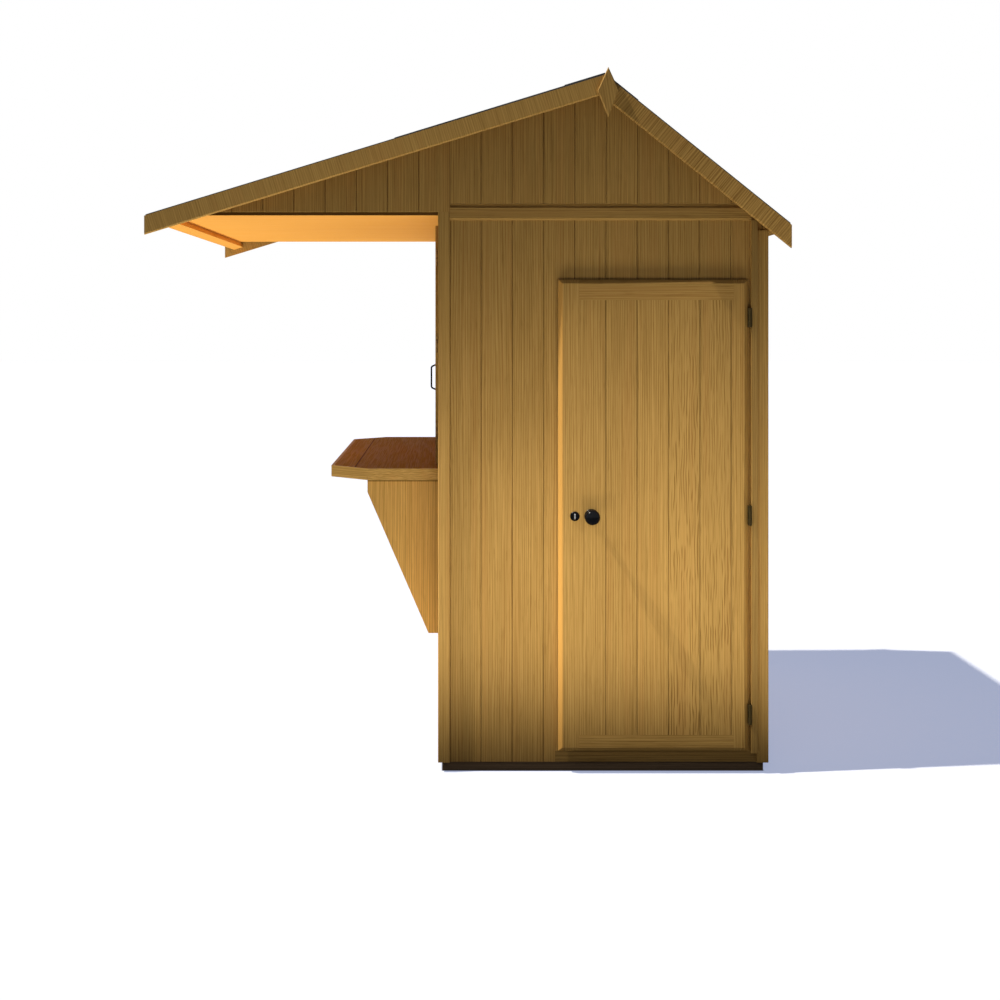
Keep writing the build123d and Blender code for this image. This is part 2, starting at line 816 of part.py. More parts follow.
with BuildPart() as door_rails:
    add_block(door_back_x, door_face_x, panel_low_y, panel_high_y, door_bottom, panel_bottom)
    add_block(door_back_x, door_face_x, panel_low_y, panel_high_y, panel_top, door_top)
    chamfer(rim_edges(), length=door_bevel)
save(door_rails, "door_rails")

with BuildPart() as door_boards:
    add_block(board_back_x, door_face_x, panel_low_y, panel_high_y, panel_bottom, panel_top)
    with Locations(Location(Plane.YZ.offset(door_face_x))):
        with Locations((knob_y, lock_height)):
            Hole(spindle_hole_radius, depth=door_board_thickness)
save(door_boards, "door_boards")

lower_ledge_z = (panel_bottom + lock_height) / 2
upper_ledge_z = (panel_top + lock_height) / 2
with BuildPart() as door_ledges:
    for z in (lower_ledge_z, lock_height, upper_ledge_z):
        z0 = z - ledge_height / 2
        add_block(door_back_x, board_back_x, panel_low_y, panel_high_y, z0, z0 + ledge_height)
    with Locations(Location(Plane.YZ.offset(board_back_x))):
        with Locations((knob_y, lock_height)):
            Hole(spindle_hole_radius, depth=board_back_x - door_back_x)
save(door_ledges, "door_ledges")


# Butt hinges of the door: the jamb's leaf carries the pin in the middle knuckle
with BuildPart() as hinge_jamb:
    add_block(half_width, door_face_x, jamb_edge_y, strip_inner_y, sill_top, cover_strip_bottom)
save(hinge_jamb, "hinge_jamb")

hinge_zs = (
    door_bottom + hinge_bottom_inset,
    (door_bottom + door_top) / 2,
    door_top - hinge_top_inset,
)
knuckle_height = hinge_height / 3
plate_back_x = door_back_x + hinge_plate_inset
plate_front_x = hinge_axis_x - knuckle_radius - knuckle_gap


def add_knuckle(low, high, leaf_low_y, leaf_high_y):
    """Adds one knuckle and the tongue that joins it to its leaf."""
    with BuildSketch(Plane.XY.offset(low)) as round_section:
        with Locations((hinge_axis_x, hinge_axis_y)):
            Circle(knuckle_radius)
    extrude(round_section.sketch, amount=high - low)
    add_block(plate_front_x, hinge_axis_x, leaf_low_y, leaf_high_y, low, high)


with BuildPart() as door_hinge_leaves:
    for z in hinge_zs:
        low = z - hinge_height / 2
        high = z + hinge_height / 2
        leaf = (hinge_edge_y, hinge_edge_y + hinge_plate_thickness)
        add_block(plate_back_x, plate_front_x, *leaf, low, high)
        add_knuckle(low, low + knuckle_height - knuckle_gap, *leaf)
        add_knuckle(high - knuckle_height + knuckle_gap, high, *leaf)
        with BuildSketch(Plane.XY.offset(low)):
            with Locations((hinge_axis_x, hinge_axis_y)):
                Circle(hinge_pin_radius + hinge_pin_clearance)
        extrude(amount=hinge_height, mode=Mode.SUBTRACT)
save(door_hinge_leaves, "door_hinge_leaves")

with BuildPart() as jamb_hinge_leaves:
    for z in hinge_zs:
        low = z - hinge_height / 2
        high = z + hinge_height / 2
        leaf = (jamb_edge_y - hinge_plate_thickness, jamb_edge_y)
        add_block(plate_back_x, plate_front_x, *leaf, low, high)
        add_knuckle(low + knuckle_height, high - knuckle_height, *leaf)
        with BuildSketch(Plane.XY.offset(low)):
            with Locations((hinge_axis_x, hinge_axis_y)):
                Circle(hinge_pin_radius)
        extrude(amount=hinge_height)
save(jamb_hinge_leaves, "jamb_hinge_leaves")


# Rim lock inside, its keep on the latch post, and the rose and keyhole plate outside
case_in_x = door_back_x - lock_case_depth
with BuildPart() as lock_case:
    add_block(
        case_in_x,
        door_back_x,
        case_low_y,
        case_low_y + lock_case_length,
        lock_height - lock_case_height / 2,
        lock_height + lock_case_height / 2,
    )
    with Locations(Location(Plane.YZ.offset(door_back_x))):
        with Locations((knob_y, lock_height)):
            Hole(spindle_hole_radius, depth=lock_case_depth)
save(lock_case, "lock_case")

with BuildPart() as lock_keep:
    add_block(
        clad_in_x - keep_width,
        clad_in_x,
        opening_low_y,
        opening_low_y + keep_thickness,
        lock_height - lock_case_height / 2,
        lock_height + lock_case_height / 2,
    )
save(lock_keep, "lock_keep")

with BuildPart() as door_plates:
    with BuildSketch(Plane.YZ.offset(door_face_x)):
        with Locations((knob_y, lock_height)):
            Circle(rose_radius)
            Circle(spindle_radius + spindle_clearance, mode=Mode.SUBTRACT)
        with Locations((keyhole_y, lock_height)):
            Circle(escutcheon_radius)
            Circle(keyhole_radius, mode=Mode.SUBTRACT)
        with Locations((keyhole_y, lock_height - keyhole_slot / 2)):
            Rectangle(keyhole_radius, keyhole_slot, mode=Mode.SUBTRACT)
    extrude(amount=plate_thickness)
    front_circles = edges().filter_by(GeomType.CIRCLE).group_by(Axis.X)[-1]
    chamfer(front_circles.sort_by(SortBy.RADIUS)[-2:], length=plate_bevel)
save(door_plates, "door_plates")


# Knobs: turned forms on one spindle through the lock
def add_knob(seat_x, direction, scale, neck_start):
    """Adds an oval knob, turned in short flats, which stands on a face across X."""
    turning_plane = Plane(origin=(seat_x, knob_y, lock_height), x_dir=(direction, 0, 0), z_dir=(0, 0, 1))
    radius = knob_radius * scale
    half_length = knob_half_length * scale
    middle = knob_reach * scale - half_length
    neck_angle = pi - asin(knob_neck_radius / knob_radius)
    angles = [index * neck_angle / knob_flats for index in range(knob_flats + 1)]
    profile = [(middle + half_length * cos(angle), radius * sin(angle)) for angle in angles]
    neck_radius = knob_neck_radius * scale
    with BuildSketch(turning_plane) as half_section:
        with BuildLine():
            Polyline(*profile, (neck_start, neck_radius), (neck_start, 0), close=True)
        make_face()
    revolve(half_section.sketch, axis=Axis((seat_x, knob_y, lock_height), (direction, 0, 0)))


spindle_end_x = case_in_x - knob_play - knob_neck_radius
with BuildPart() as outer_knob:
    add_knob(door_face_x, 1, 1.0, plate_thickness + knob_play)
    with BuildSketch(Plane.YZ.offset(spindle_end_x)):
        with Locations((knob_y, lock_height)):
            Circle(spindle_radius)
    extrude(amount=door_face_x + knob_reach / 2 - spindle_end_x)
save(outer_knob, "outer_knob")

with BuildPart() as inner_knob:
    add_knob(case_in_x, -1, inner_knob_scale, knob_play)
    with BuildSketch(Plane.YZ.offset(spindle_end_x)):
        with Locations((knob_y, lock_height)):
            Circle(spindle_radius + spindle_clearance)
    extrude(amount=case_in_x - spindle_end_x, mode=Mode.SUBTRACT)
save(inner_knob, "inner_knob")
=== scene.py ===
"""Boards, felt, ironmongery and finishes of a timber garden bar, laid over its fixed frame."""

import math

import bmesh
import bpy
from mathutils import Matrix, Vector


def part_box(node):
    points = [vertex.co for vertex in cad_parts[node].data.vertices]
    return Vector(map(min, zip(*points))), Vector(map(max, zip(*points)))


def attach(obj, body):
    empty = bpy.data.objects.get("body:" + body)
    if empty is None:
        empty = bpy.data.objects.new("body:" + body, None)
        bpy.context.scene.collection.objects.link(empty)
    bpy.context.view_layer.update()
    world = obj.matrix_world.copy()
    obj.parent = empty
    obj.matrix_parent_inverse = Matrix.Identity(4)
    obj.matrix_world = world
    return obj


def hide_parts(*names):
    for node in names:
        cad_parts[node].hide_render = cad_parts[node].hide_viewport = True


bl_info = {
    "name": "Garden bar",
    "version": (1, 0, 0),
    "blender": (4, 5, 0),
    "location": "View3D > Sidebar > Garden bar",
    "description": "Pieces and finishes of a timber garden bar with a deep canopy",
    "category": "Add Mesh",
}

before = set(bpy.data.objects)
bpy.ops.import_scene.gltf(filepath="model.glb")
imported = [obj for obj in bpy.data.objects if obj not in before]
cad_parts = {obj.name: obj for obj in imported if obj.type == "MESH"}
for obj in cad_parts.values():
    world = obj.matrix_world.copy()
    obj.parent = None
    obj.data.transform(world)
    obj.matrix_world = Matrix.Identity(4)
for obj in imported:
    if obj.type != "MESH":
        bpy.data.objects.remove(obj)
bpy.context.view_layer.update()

X, Y, Z = 0, 1, 2


# Settings that a user would change

class GardenBarTimber(bpy.types.PropertyGroup):
    """Sizes and colours of the timber."""

    board_pitch: bpy.props.FloatProperty(
        name="Board pitch", description="Width that each tongued board covers",
        default=0.1125, min=0.05, unit="LENGTH")
    first_joint: bpy.props.FloatProperty(
        name="First joint",
        description="Distance of the first joint in the gables from the middle of the wall",
        default=0.552, unit="LENGTH")
    door_first_joint: bpy.props.FloatProperty(
        name="First door joint",
        description="Place of the first joint in the door's boards, from the middle of the wall",
        default=0.007, unit="LENGTH")
    joint_bevel: bpy.props.FloatProperty(
        name="Joint bevel", description="Width of the bevel on each side of a board joint",
        default=0.0024, min=0.0005, unit="LENGTH")
    light: bpy.props.FloatVectorProperty(
        name="Light wood", description="Colour of the wood between the lines of its grain",
        default=(0.55, 0.335, 0.097), subtype="COLOR")
    dark: bpy.props.FloatVectorProperty(
        name="Dark grain", description="Colour of the lines of the grain",
        default=(0.25, 0.134, 0.032), subtype="COLOR")
    shelf_light: bpy.props.FloatVectorProperty(
        name="Shelf wood", description="Colour of the shelf's boards between the lines of their grain",
        default=(0.44, 0.238, 0.030), subtype="COLOR")
    shelf_dark: bpy.props.FloatVectorProperty(
        name="Shelf grain", description="Colour of the lines of grain in the shelf's boards",
        default=(0.25, 0.125, 0.018), subtype="COLOR")
    # The soffit's pale colour is painted light: it stands for the bright light bounced up from the ground
    soffit_painted_light: bpy.props.FloatVectorProperty(
        name="Soffit wood", description="Colour of the pale, unweathered boards under the canopy",
        default=(0.78, 0.37, 0.068), subtype="COLOR")


class GardenBarRoof(bpy.types.PropertyGroup):
    """Sizes and colours of the felt roof."""

    felt_colour: bpy.props.FloatVectorProperty(
        name="Felt", description="Colour of the mineral felt",
        default=(0.045, 0.047, 0.052), subtype="COLOR")
    course_width: bpy.props.FloatProperty(
        name="Course width", description="Width of one course of felt",
        default=1.0, min=0.2, unit="LENGTH")
    course_lap: bpy.props.FloatProperty(
        name="Lap", description="How far the upper course of felt laps over the lower",
        default=0.075, min=0.02, unit="LENGTH")
    sheet_thickness: bpy.props.FloatProperty(
        name="Sheet thickness", description="Thickness of the felt laid over the first sheet",
        default=0.002, min=0.001, unit="LENGTH")
    nail_inset: bpy.props.FloatProperty(
        name="Nail inset", description="Distance of the clout nails from the edge of the felt",
        default=0.02, min=0.005, unit="LENGTH")
    nail_height: bpy.props.FloatProperty(
        name="Nail head height", description="Height of a clout nail's head",
        default=0.0012, min=0.0005, unit="LENGTH")
    cap_width: bpy.props.FloatProperty(
        name="Ridge cap", description="Width of the strip of felt over the ridge, on each slope",
        default=0.15, min=0.05, unit="LENGTH")
    nail_spacing: bpy.props.FloatProperty(
        name="Nail spacing", description="Distance between the clout nails along an edge of the felt",
        default=0.1, min=0.03, unit="LENGTH")
    nail_radius: bpy.props.FloatProperty(
        name="Nail head radius", description="Radius of a clout nail's head",
        default=0.005, min=0.001, unit="LENGTH")


class GardenBarLock(bpy.types.PropertyGroup):
    """Sizes of the drop cover over the keyhole."""

    cover_length: bpy.props.FloatProperty(
        name="Cover length", description="Length of the keyhole's cover",
        default=0.019, min=0.008, unit="LENGTH")
    cover_width: bpy.props.FloatProperty(
        name="Cover width", description="Width of the keyhole's cover",
        default=0.0058, min=0.003, unit="LENGTH")
    cover_thickness: bpy.props.FloatProperty(
        name="Cover thickness", description="Thickness of the keyhole's cover",
        default=0.0012, min=0.0005, unit="LENGTH")


class GardenBarStage(bpy.types.PropertyGroup):
    """The floor, the light and the camera."""

    sun_strength: bpy.props.FloatProperty(
        name="Sun", description="Strength of the sun",
        default=5.6, min=0.0)
    sun_colour: bpy.props.FloatVectorProperty(
        name="Sun colour", description="Colour of the sun",
        default=(1.0, 0.95, 0.86), subtype="COLOR")
    sky_colour: bpy.props.FloatVectorProperty(
        name="Sky colour", description="Colour of the light from all round",
        default=(0.055, 0.06, 0.075), subtype="COLOR")
    shade_colour: bpy.props.FloatVectorProperty(
        name="Shade colour", description="Colour that the pale floor keeps in the shade",
        default=(0.33, 0.375, 0.53), subtype="COLOR")
    fill_power: bpy.props.FloatProperty(
        name="Fill light",
        description="Power of the soft lamps round the building, before the share of each",
        default=24.5, min=0.0, unit="POWER")
    box_power: bpy.props.FloatProperty(
        name="Soft boxes", description="Power of the low soft box that faces each gable",
        default=4.3, min=0.0, unit="POWER")
    lens: bpy.props.FloatProperty(
        name="Lens", description="Focal length of the camera",
        default=57.1, min=1.0, unit="CAMERA")
    eye: bpy.props.FloatVectorProperty(
        name="Camera place", description="Where the camera stands",
        default=(6.635, -0.5373, 1.6135), subtype="TRANSLATION", unit="LENGTH")


# Shader sums

class Amount:
    """A number that varies over a surface. Sums on it add the nodes that work them out."""

    def __init__(self, finish, socket):
        self.finish = finish
        self.socket = socket

    def worked(self, operation, *values):
        return self.finish.node("ShaderNodeMath", {"operation": operation}, dict(enumerate(values)))

    def __add__(self, other):
        return self.worked("ADD", self, other)

    __radd__ = __add__

    def __sub__(self, other):
        return self.worked("SUBTRACT", self, other)

    def __rsub__(self, other):
        return self.worked("SUBTRACT", other, self)

    def __mul__(self, other):
        return self.worked("MULTIPLY", self, other)

    __rmul__ = __mul__

    def __truediv__(self, other):
        return self.worked("DIVIDE", self, other)

    def __abs__(self):
        return self.worked("ABSOLUTE", self)

    def __floor__(self):
        return self.worked("FLOOR", self)

    def wave(self):
        return self.worked("SINE", self)

    def eased(self, low, high, to_low=0.0, to_high=1.0):
        """Rises smoothly from one end value to the other as the amount goes from low to high."""
        inputs = {"Value": self, "From Min": low, "From Max": high, "To Min": to_low, "To Max": to_high}
        return self.finish.node("ShaderNodeMapRange", {"interpolation_type": "SMOOTHSTEP"}, inputs)


class Finish:
    """One material, or the sky: its nodes are added, set and linked by node()."""

    def __init__(self, name, owners="materials", output="ShaderNodeOutputMaterial"):
        self.owner = getattr(bpy.data, owners).new(name)
        self.owner.use_nodes = True
        self.tree = self.owner.node_tree
        self.tree.nodes.clear()
        self.output = self.tree.nodes.new(output)

    def node(self, kind, settings=None, inputs=None, output=0):
        """Adds a node of this type with these settings and input values or links, and gives an output."""
        made = self.tree.nodes.new(kind)
        for name, value in (settings or {}).items():
            setattr(made, name, value)
        for name, value in (inputs or {}).items():
            if isinstance(value, Amount):
                self.tree.links.new(value.socket, made.inputs[name])
            elif isinstance(value, tuple) and len(value) == 3 and made.inputs[name].type == "RGBA":
                made.inputs[name].default_value = (*value, 1.0)
            else:
                made.inputs[name].default_value = value
        return Amount(self, made.outputs[output])

    def place(self):
        """Object coordinates as three amounts."""
        point = self.node("ShaderNodeTexCoord", output="Object")
        return [self.node("ShaderNodeSeparateXYZ", inputs={0: point}, output=axis) for axis in range(3)]

    def noise(self, x, y, z, detail=2.0, roughness=0.5):
        point = self.node("ShaderNodeCombineXYZ", inputs={0: x, 1: y, 2: z})
        inputs = {"Vector": point, "Scale": 1.0, "Detail": detail, "Roughness": roughness}
        return self.node("ShaderNodeTexNoise", inputs=inputs)

    def speckle(self, rate, detail=2.0, roughness=0.5):
        """Noise at the same rate in every direction."""
        x, y, z = self.place()
        return self.noise(x * rate, y * rate, z * rate, detail, roughness)

    def dice(self, amount):
        """A random number from 0 to 1 for each value of an amount."""
        return self.node("ShaderNodeTexWhiteNoise", {"noise_dimensions": "1D"}, {"W": amount})

    def mixed(self, share, first, second):
        """The first colour where the share is 0, and the second where it is 1."""
        return self.node("ShaderNodeMix", {"data_type": "RGBA"}, {0: share, 6: first, 7: second}, output=2)

    def scaled(self, colour, amount):
        """A colour made lighter or darker by an amount."""
        return self.node("ShaderNodeVectorMath", {"operation": "SCALE"}, {0: colour, 3: amount})

    def bumped(self, height, depth, strength):
        inputs = {"Height": height, "Distance": depth, "Strength": strength}
        return self.node("ShaderNodeBump", inputs=inputs)

    def shown(self, shader):
        """Links a shader to the output, and gives the material or sky."""
        self.tree.links.new(shader.socket, self.output.inputs["Surface"])
        return self.owner

    def surface(self, inputs):
        return self.shown(self.node("ShaderNodeBsdfPrincipled", inputs=inputs))


# Figure of the wood: how often it varies in a metre, across and along a board

FINE_LINES = (215.0, 4.5)
LONG_LINES = (240.0, 1.3)
BROAD_BANDS = (60.0, 0.5)
FLECKS = (230.0, 14.0)
RING_DRIFT = (50.0, 1.3)
COARSE_DRIFT = (40.0, 8.0)
COARSE_BREAKS = (130.0, 11.0)
WARM_PATCHES = (24.0, 0.6)
BOARD_BEND = (7.0, 1.1)
COARSE_STRENGTH = (3.0, 1.6)

# Rings are a sine across the board: how fast it turns in a metre, and how far its drift moves it
RING_RATE = 740.0
RING_SWAY = 15.0
COARSE_RATE = 650.0
COARSE_SWAY = 10.0

# How far the grain of a board bends, and how far apart its draws set it from the next board's
BEND_REACH = 0.010
SECOND_DRAW = 71.3
ACROSS_STEP = 5.0
ALONG_STEP = 9.0
THROUGH_STEP = 13.0
BEND_STEP = 30.0
THROUGH_RATE = 30.0

# Painted shade and light up the walls (darker at the foot and under the eaves, lighter in the middle), and
# the coarse grain's strength: from which height to which, and the tone or strength of the grain at each
PAINTED_FOOT_SHADE = (-0.08, 0.50, 0.47, 1.0)
PAINTED_MIDDLE_LIGHT = (0.65, 1.15, 1.05, 0.93)
PAINTED_EAVES_SHADE = (1.0, 1.9, 1.0, 0.87)
COARSE_FADE = (0.12, 0.75, 1.25, 0.9)

# Where the finish changes: distances from a joint, the edge of a painted highlight, an end with painted
# shade, the painted shade under a top, the painted light of a foot, or coarse boards
JOINT_STAIN = (0.0008, 0.0036)
EDGE_BLEND = (-0.002, 0.007)
END_BLEND = 0.0004
END_SKIN = 0.0002
PAINTED_CONTACT_SHADE = (-0.008, -0.003)
FOOT_REACH = 0.33
COARSE_BLEND = 0.02
COARSE_RISE = 0.03

# Colour of a painted highlight on a sunlit edge, and depth of the grain's relief
PAINTED_EDGE_HIGHLIGHT = (0.55, 0.296, 0.073)
BUMP_DEPTH = 0.0005


# Finishes

def wood(name, run, light, dark, seed, rows=None, coarse=None, shade=1.0, contrast=1.0,
         weathered=True, edge=None, ends=None, top=None, foot=None, seam=0.72, gloss=0.12):
    """Planed, stained softwood.

    run gives the distance along the grain, across it and through it from the three coordinates. light and
    dark are its colours between and in the lines of the grain, whose contrast is 1 in the walls. rows is
    the first joint and pitch of boards laid side by side, so each has its own grain and tone and the
    joints are darker. coarse is where, across the boards, the grain is wide and wavy. Unless turned off,
    the tone varies in random clouds and carries painted shade near the ground and high up and painted light
    in the middle of the wall. edge is where, across the boards, a painted highlight of a sunlit edge ends.
    ends is how far to each side their ends or outer faces are, and the painted shade that they are given.
    top is how high painted shade under the timber above starts, foot how high painted light on a low end
    starts, and seam the tone of the joints.
    """
    finish = Finish(name)
    x, y, z = finish.place()
    along, across, through = run(x, y, z)
    board = across * 0.0 + seed
    joint = None
    if rows:
        first, pitch = rows
        turn = (across - first) / pitch
        board = math.floor(turn) + seed
        joint = abs(turn - math.floor(turn + 0.5)) * pitch
    chance = finish.dice(board)
    other = finish.dice(board + SECOND_DRAW)
    bend = finish.noise(along * BOARD_BEND[1], across * BOARD_BEND[0], other * BEND_STEP, detail=1.0) - 0.5
    swayed = across + bend * BEND_REACH + other * ACROSS_STEP
    length = along + chance * ALONG_STEP
    depth = through * THROUGH_RATE + chance * THROUGH_STEP

    def figure(rates, layer=0.0, detail=1.0, roughness=0.5):
        """Noise at one rate across the board and another along it."""
        return finish.noise(swayed * rates[0], length * rates[1], depth + layer, detail, roughness)

    lines = figure(FINE_LINES, roughness=0.6).eased(0.40, 0.60)
    long = figure(LONG_LINES, 3.7, detail=0.5).eased(0.42, 0.58)
    broad = figure(BROAD_BANDS).eased(0.35, 0.65)
    flecks = figure(FLECKS, 1.3).eased(0.58, 0.68)
    rings = (swayed * RING_RATE + figure(RING_DRIFT, 2.2) * RING_SWAY).wave().eased(-0.8, 0.9)
    grain = (0.10 + rings * 0.30 + lines * 0.16 + long * 0.13 + broad * 0.02 + flecks * 0.14) * contrast
    if coarse:
        low, high = coarse
        broken = figure(COARSE_BREAKS, detail=0.5).eased(0.36, 0.56)
        drift = figure(COARSE_DRIFT, 5.0)
        bright = (swayed * COARSE_RATE + drift * COARSE_SWAY).wave().eased(-0.3, 0.9) * broken
        gone = across.eased(high - COARSE_BLEND, high + COARSE_BLEND)
        there = across.eased(low - COARSE_BLEND, low + COARSE_RISE) * (1.0 - gone)
        patch = finish.noise(across * COARSE_STRENGTH[0], along * COARSE_STRENGTH[1], depth, detail=1.0)
        strong = 0.6 + 0.4 * patch.eased(0.40, 0.62)
        grain = grain * (1.0 - there * 0.45) + bright * there * strong * z.eased(*COARSE_FADE) * 0.7
    tone = shade * (0.96 + 0.08 * other)
    if weathered:
        # Painted shade at the foot and under the eaves, and painted light in the middle of the wall; cloud
        # is random tone
        painted_height_shade = z.eased(*PAINTED_FOOT_SHADE) * z.eased(*PAINTED_MIDDLE_LIGHT) * z.eased(*PAINTED_EAVES_SHADE)
        cloud = finish.noise(x * 2.3, y * 2.3, z * 1.1)
        tone = tone * painted_height_shade * (0.95 + 0.10 * cloud)
    if joint:
        tone = tone * joint.eased(*JOINT_STAIN, seam, 1.0)
    colour = finish.mixed(grain, light, dark)
    warm = figure(WARM_PATCHES, 9.1).eased(0.5, 0.72, 0.0, 0.22)
    colour = finish.mixed(warm, colour, (light[0] * 0.80, light[1] * 0.65, light[2] * 0.60))
    # A painted highlight along the sunlit edge of the door
    if edge is not None:
        colour = finish.mixed(across.eased(edge + EDGE_BLEND[0], edge + EDGE_BLEND[1]), PAINTED_EDGE_HIGHLIGHT, colour)
    # Painted shade on the ends or outer faces
    if ends is not None:
        tone = tone * abs(x).eased(ends[0] - END_BLEND, ends[0], 1.0, ends[1])
    # Painted shade just under the timber above
    if top is not None:
        tone = tone * z.eased(top + PAINTED_CONTACT_SHADE[0], top + PAINTED_CONTACT_SHADE[1], 1.0, 0.35)
    # Painted light on the low end
    if foot is not None:
        tone = tone * z.eased(foot, foot + FOOT_REACH, 1.30, 1.0)
    height = lines * -0.5 + flecks * -0.3
    return finish.surface({
        "Base Color": finish.scaled(colour, tone),
        "Roughness": 0.55 + 0.18 * lines,
        "Specular IOR Level": gloss,
        "Normal": finish.bumped(height, BUMP_DEPTH, 0.5),
    })


def stained(timber, name, run, seed, **looks):
    """Wood in the two colours that the settings give."""
    return wood(name, run, tuple(timber.light), tuple(timber.dark), seed, **looks)


def upright(x, y, z):
    """Grain up a board whose face looks along X, seen across Y."""
    return z, y, x


def upright_long(x, y, z):
    """Grain up a board whose face looks along Y, seen across X."""
    return z, x, y


def lengthwise(x, y, z):
    """Grain along X, seen across both other ways."""
    return x, y + z, z - y


def crosswise(x, y, z):
    """Grain along Y, seen across both other ways."""
    return y, z + x, x - z


def post(x, y, z):
    """Grain up a square timber, seen from either side."""
    return z, x + y, x - y


def rim(x, y, z):
    """Grain level round the edge of the shelf."""
    return x + y, z, x - y


def flat_long(x, y, z):
    """Grain along X in a level face, seen across Y."""
    return x, y, z


def flat_deep(x, y, z):
    """Grain along Y in a level face, seen across X."""
    return y, x, z


def across_slope(pitch):
    """Grain square to a sloping board, as on its sawn face."""
    sine, cosine = math.sin(pitch), math.cos(pitch)

    def run(x, y, z):
        return z * cosine - y * sine, y * cosine + z * sine, x

    return run


def mineral_felt(settings):
    finish = Finish("mineral_felt")
    x, y, z = finish.place()
    grit = finish.speckle(900.0, detail=1.0)
    patch = finish.speckle(3.0, detail=3.0)
    streak = finish.noise(x * 20.0, y * 2.0, z * 2.0)
    colour = finish.mixed(grit.eased(0.50, 0.72), tuple(settings.felt_colour), (0.16, 0.165, 0.175))
    colour = finish.mixed(patch.eased(0.45, 0.75, 0.0, 0.35), colour, (0.085, 0.082, 0.075))
    return finish.surface({
        "Base Color": finish.scaled(colour, 0.85 + 0.3 * streak),
        "Roughness": 0.82 + 0.15 * grit,
        "Specular IOR Level": 0.25,
        "Normal": finish.bumped(grit, 0.0008, 0.7),
    })


def black_enamel():
    finish = Finish("black_enamel")
    peel = finish.speckle(260.0)
    rubbed = finish.speckle(55.0, detail=4.0, roughness=0.7).eased(0.62, 0.80)
    return finish.surface({
        "Base Color": finish.mixed(rubbed, (0.003, 0.0035, 0.005), (0.014, 0.012, 0.011)),
        "Roughness": 0.13 + 0.2 * rubbed + 0.06 * peel,
        "Specular IOR Level": 0.10,
        "Normal": finish.bumped(peel, 0.0002, 0.3),
    })


def dark_steel():
    finish = Finish("dark_steel")
    mottle = finish.speckle(90.0, detail=3.0, roughness=0.65)
    rust = finish.speckle(35.0, detail=3.0).eased(0.60, 0.76)
    steel = finish.scaled((0.030, 0.021, 0.007), 0.7 + 0.8 * mottle)
    return finish.surface({
        "Base Color": finish.mixed(rust, steel, (0.06, 0.028, 0.010)),
        "Specular IOR Level": 0.06,
        "Roughness": 0.45 + 0.25 * mottle,
        "Normal": finish.bumped(mottle, 0.0003, 0.4),
    })


def brass():
    finish = Finish("dull_brass")
    tarnish = finish.speckle(70.0, detail=3.0).eased(0.40, 0.65)
    return finish.surface({
        "Base Color": finish.mixed(tarnish, (0.36, 0.21, 0.06), (0.17, 0.09, 0.025)),
        "Metallic": 0.6 - 0.3 * tarnish,
        "Roughness": 0.42 + 0.2 * tarnish,
        "Normal": finish.bumped(tarnish, 0.0002, 0.3),
    })


def galvanised(name):
    finish = Finish(name)
    spangle = finish.speckle(400.0, detail=1.0)
    return finish.surface({
        "Base Color": finish.mixed(spangle, (0.36, 0.37, 0.38), (0.58, 0.59, 0.60)),
        "Metallic": 0.85,
        "Roughness": 0.34 + 0.2 * spangle,
        "Normal": finish.bumped(spangle, 0.0002, 0.3),
    })


def put_on(piece, material):
    """Gives a piece one finish all over."""
    piece.data.materials.clear()
    piece.data.materials.append(material)


def cover(nodes, material):
    """Gives several nodes of the frame the same finish."""
    for node in nodes:
        put_on(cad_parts[node], material)


# Measures that the finishes need. ONE_JOINT is a pitch so wide that two boards have one joint

# Width of the painted highlight along the door's sunlit edge
PAINTED_HIGHLIGHT_WIDTH = 0.014
FINIAL_LEAN = 0.15
ONE_JOINT = 2.0
COARSE_DOOR_BOARDS = (0.22, 0.47)
BEARER_COLOURS = ((0.15, 0.10, 0.06), (0.06, 0.042, 0.028))

# Measures of the modelling. Slivers are the least width of a board, as a length and as a share of the
# pitch, and bevels are shares of the walls' joint bevel. REVEAL_REACH is how far before the gable's last
# joint its raised low edge is looked for

SAME_PLACE = 1e-5
SLIVER = 0.002
SLIVER_SHARE = 0.02
SHUTTER_RIM_BEVEL = 1.4
DOOR_BEVEL = 0.8
FLOOR_BEVEL = 0.6
REVEAL_REACH = 0.1
NAIL_TAPER = 0.6

# The knob: its thickness to its width, then its neck and ring as shares of its radius or thickness
KNOB_FLATNESS = 22 / 28
NECK_DEPTH = 0.92
NECK_WIDE = 0.46
NECK_NARROW = 0.36
KNOB_RING = 0.62
KNOB_RING_THICKNESS = 0.022
KNOB_RING_DEPTH = 0.222
ROSE_PLAY = 0.001
SPINDLE_RADIUS = 0.005
SPINDLE_LAP = 0.004

# The keyhole cover: its bevel as a share of its thickness, its pin's radius as one of its width
COVER_BEVEL = 0.3
COVER_PIN = 0.28
COVER_PIN_FLATNESS = 0.5

SIDE_ON = (0, math.pi / 2, 0)


# Modelling

def deselect_all():
    if bpy.context.object and bpy.context.object.mode != "OBJECT":
        bpy.ops.object.mode_set(mode="OBJECT")
    bpy.ops.object.select_all(action="DESELECT")


def begin_piece(name):
    """Starts an empty piece at the origin and leaves it in edit mode."""
    deselect_all()
    bpy.ops.mesh.primitive_cube_add(size=1.0)
    piece = bpy.context.object
    piece.name = name
    piece.data.name = name
    bpy.ops.object.mode_set(mode="EDIT")
    bpy.ops.mesh.select_all(action="SELECT")
    bpy.ops.mesh.delete(type="VERT")
    return piece


def end_piece(piece, body, material, replaced=()):
    """Leaves edit mode, and gives the piece its body and finish."""
    bpy.ops.object.mode_set(mode="OBJECT")
    put_on(piece, material)
    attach(piece, body)
    if replaced:
        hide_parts(*replaced)


def add_timber(low, high):
    """Adds a squared timber between two corners to the piece being edited."""
    low, high = Vector(low), Vector(high)
    bpy.ops.mesh.primitive_cube_add(size=1.0, location=(low + high) / 2, scale=high - low)


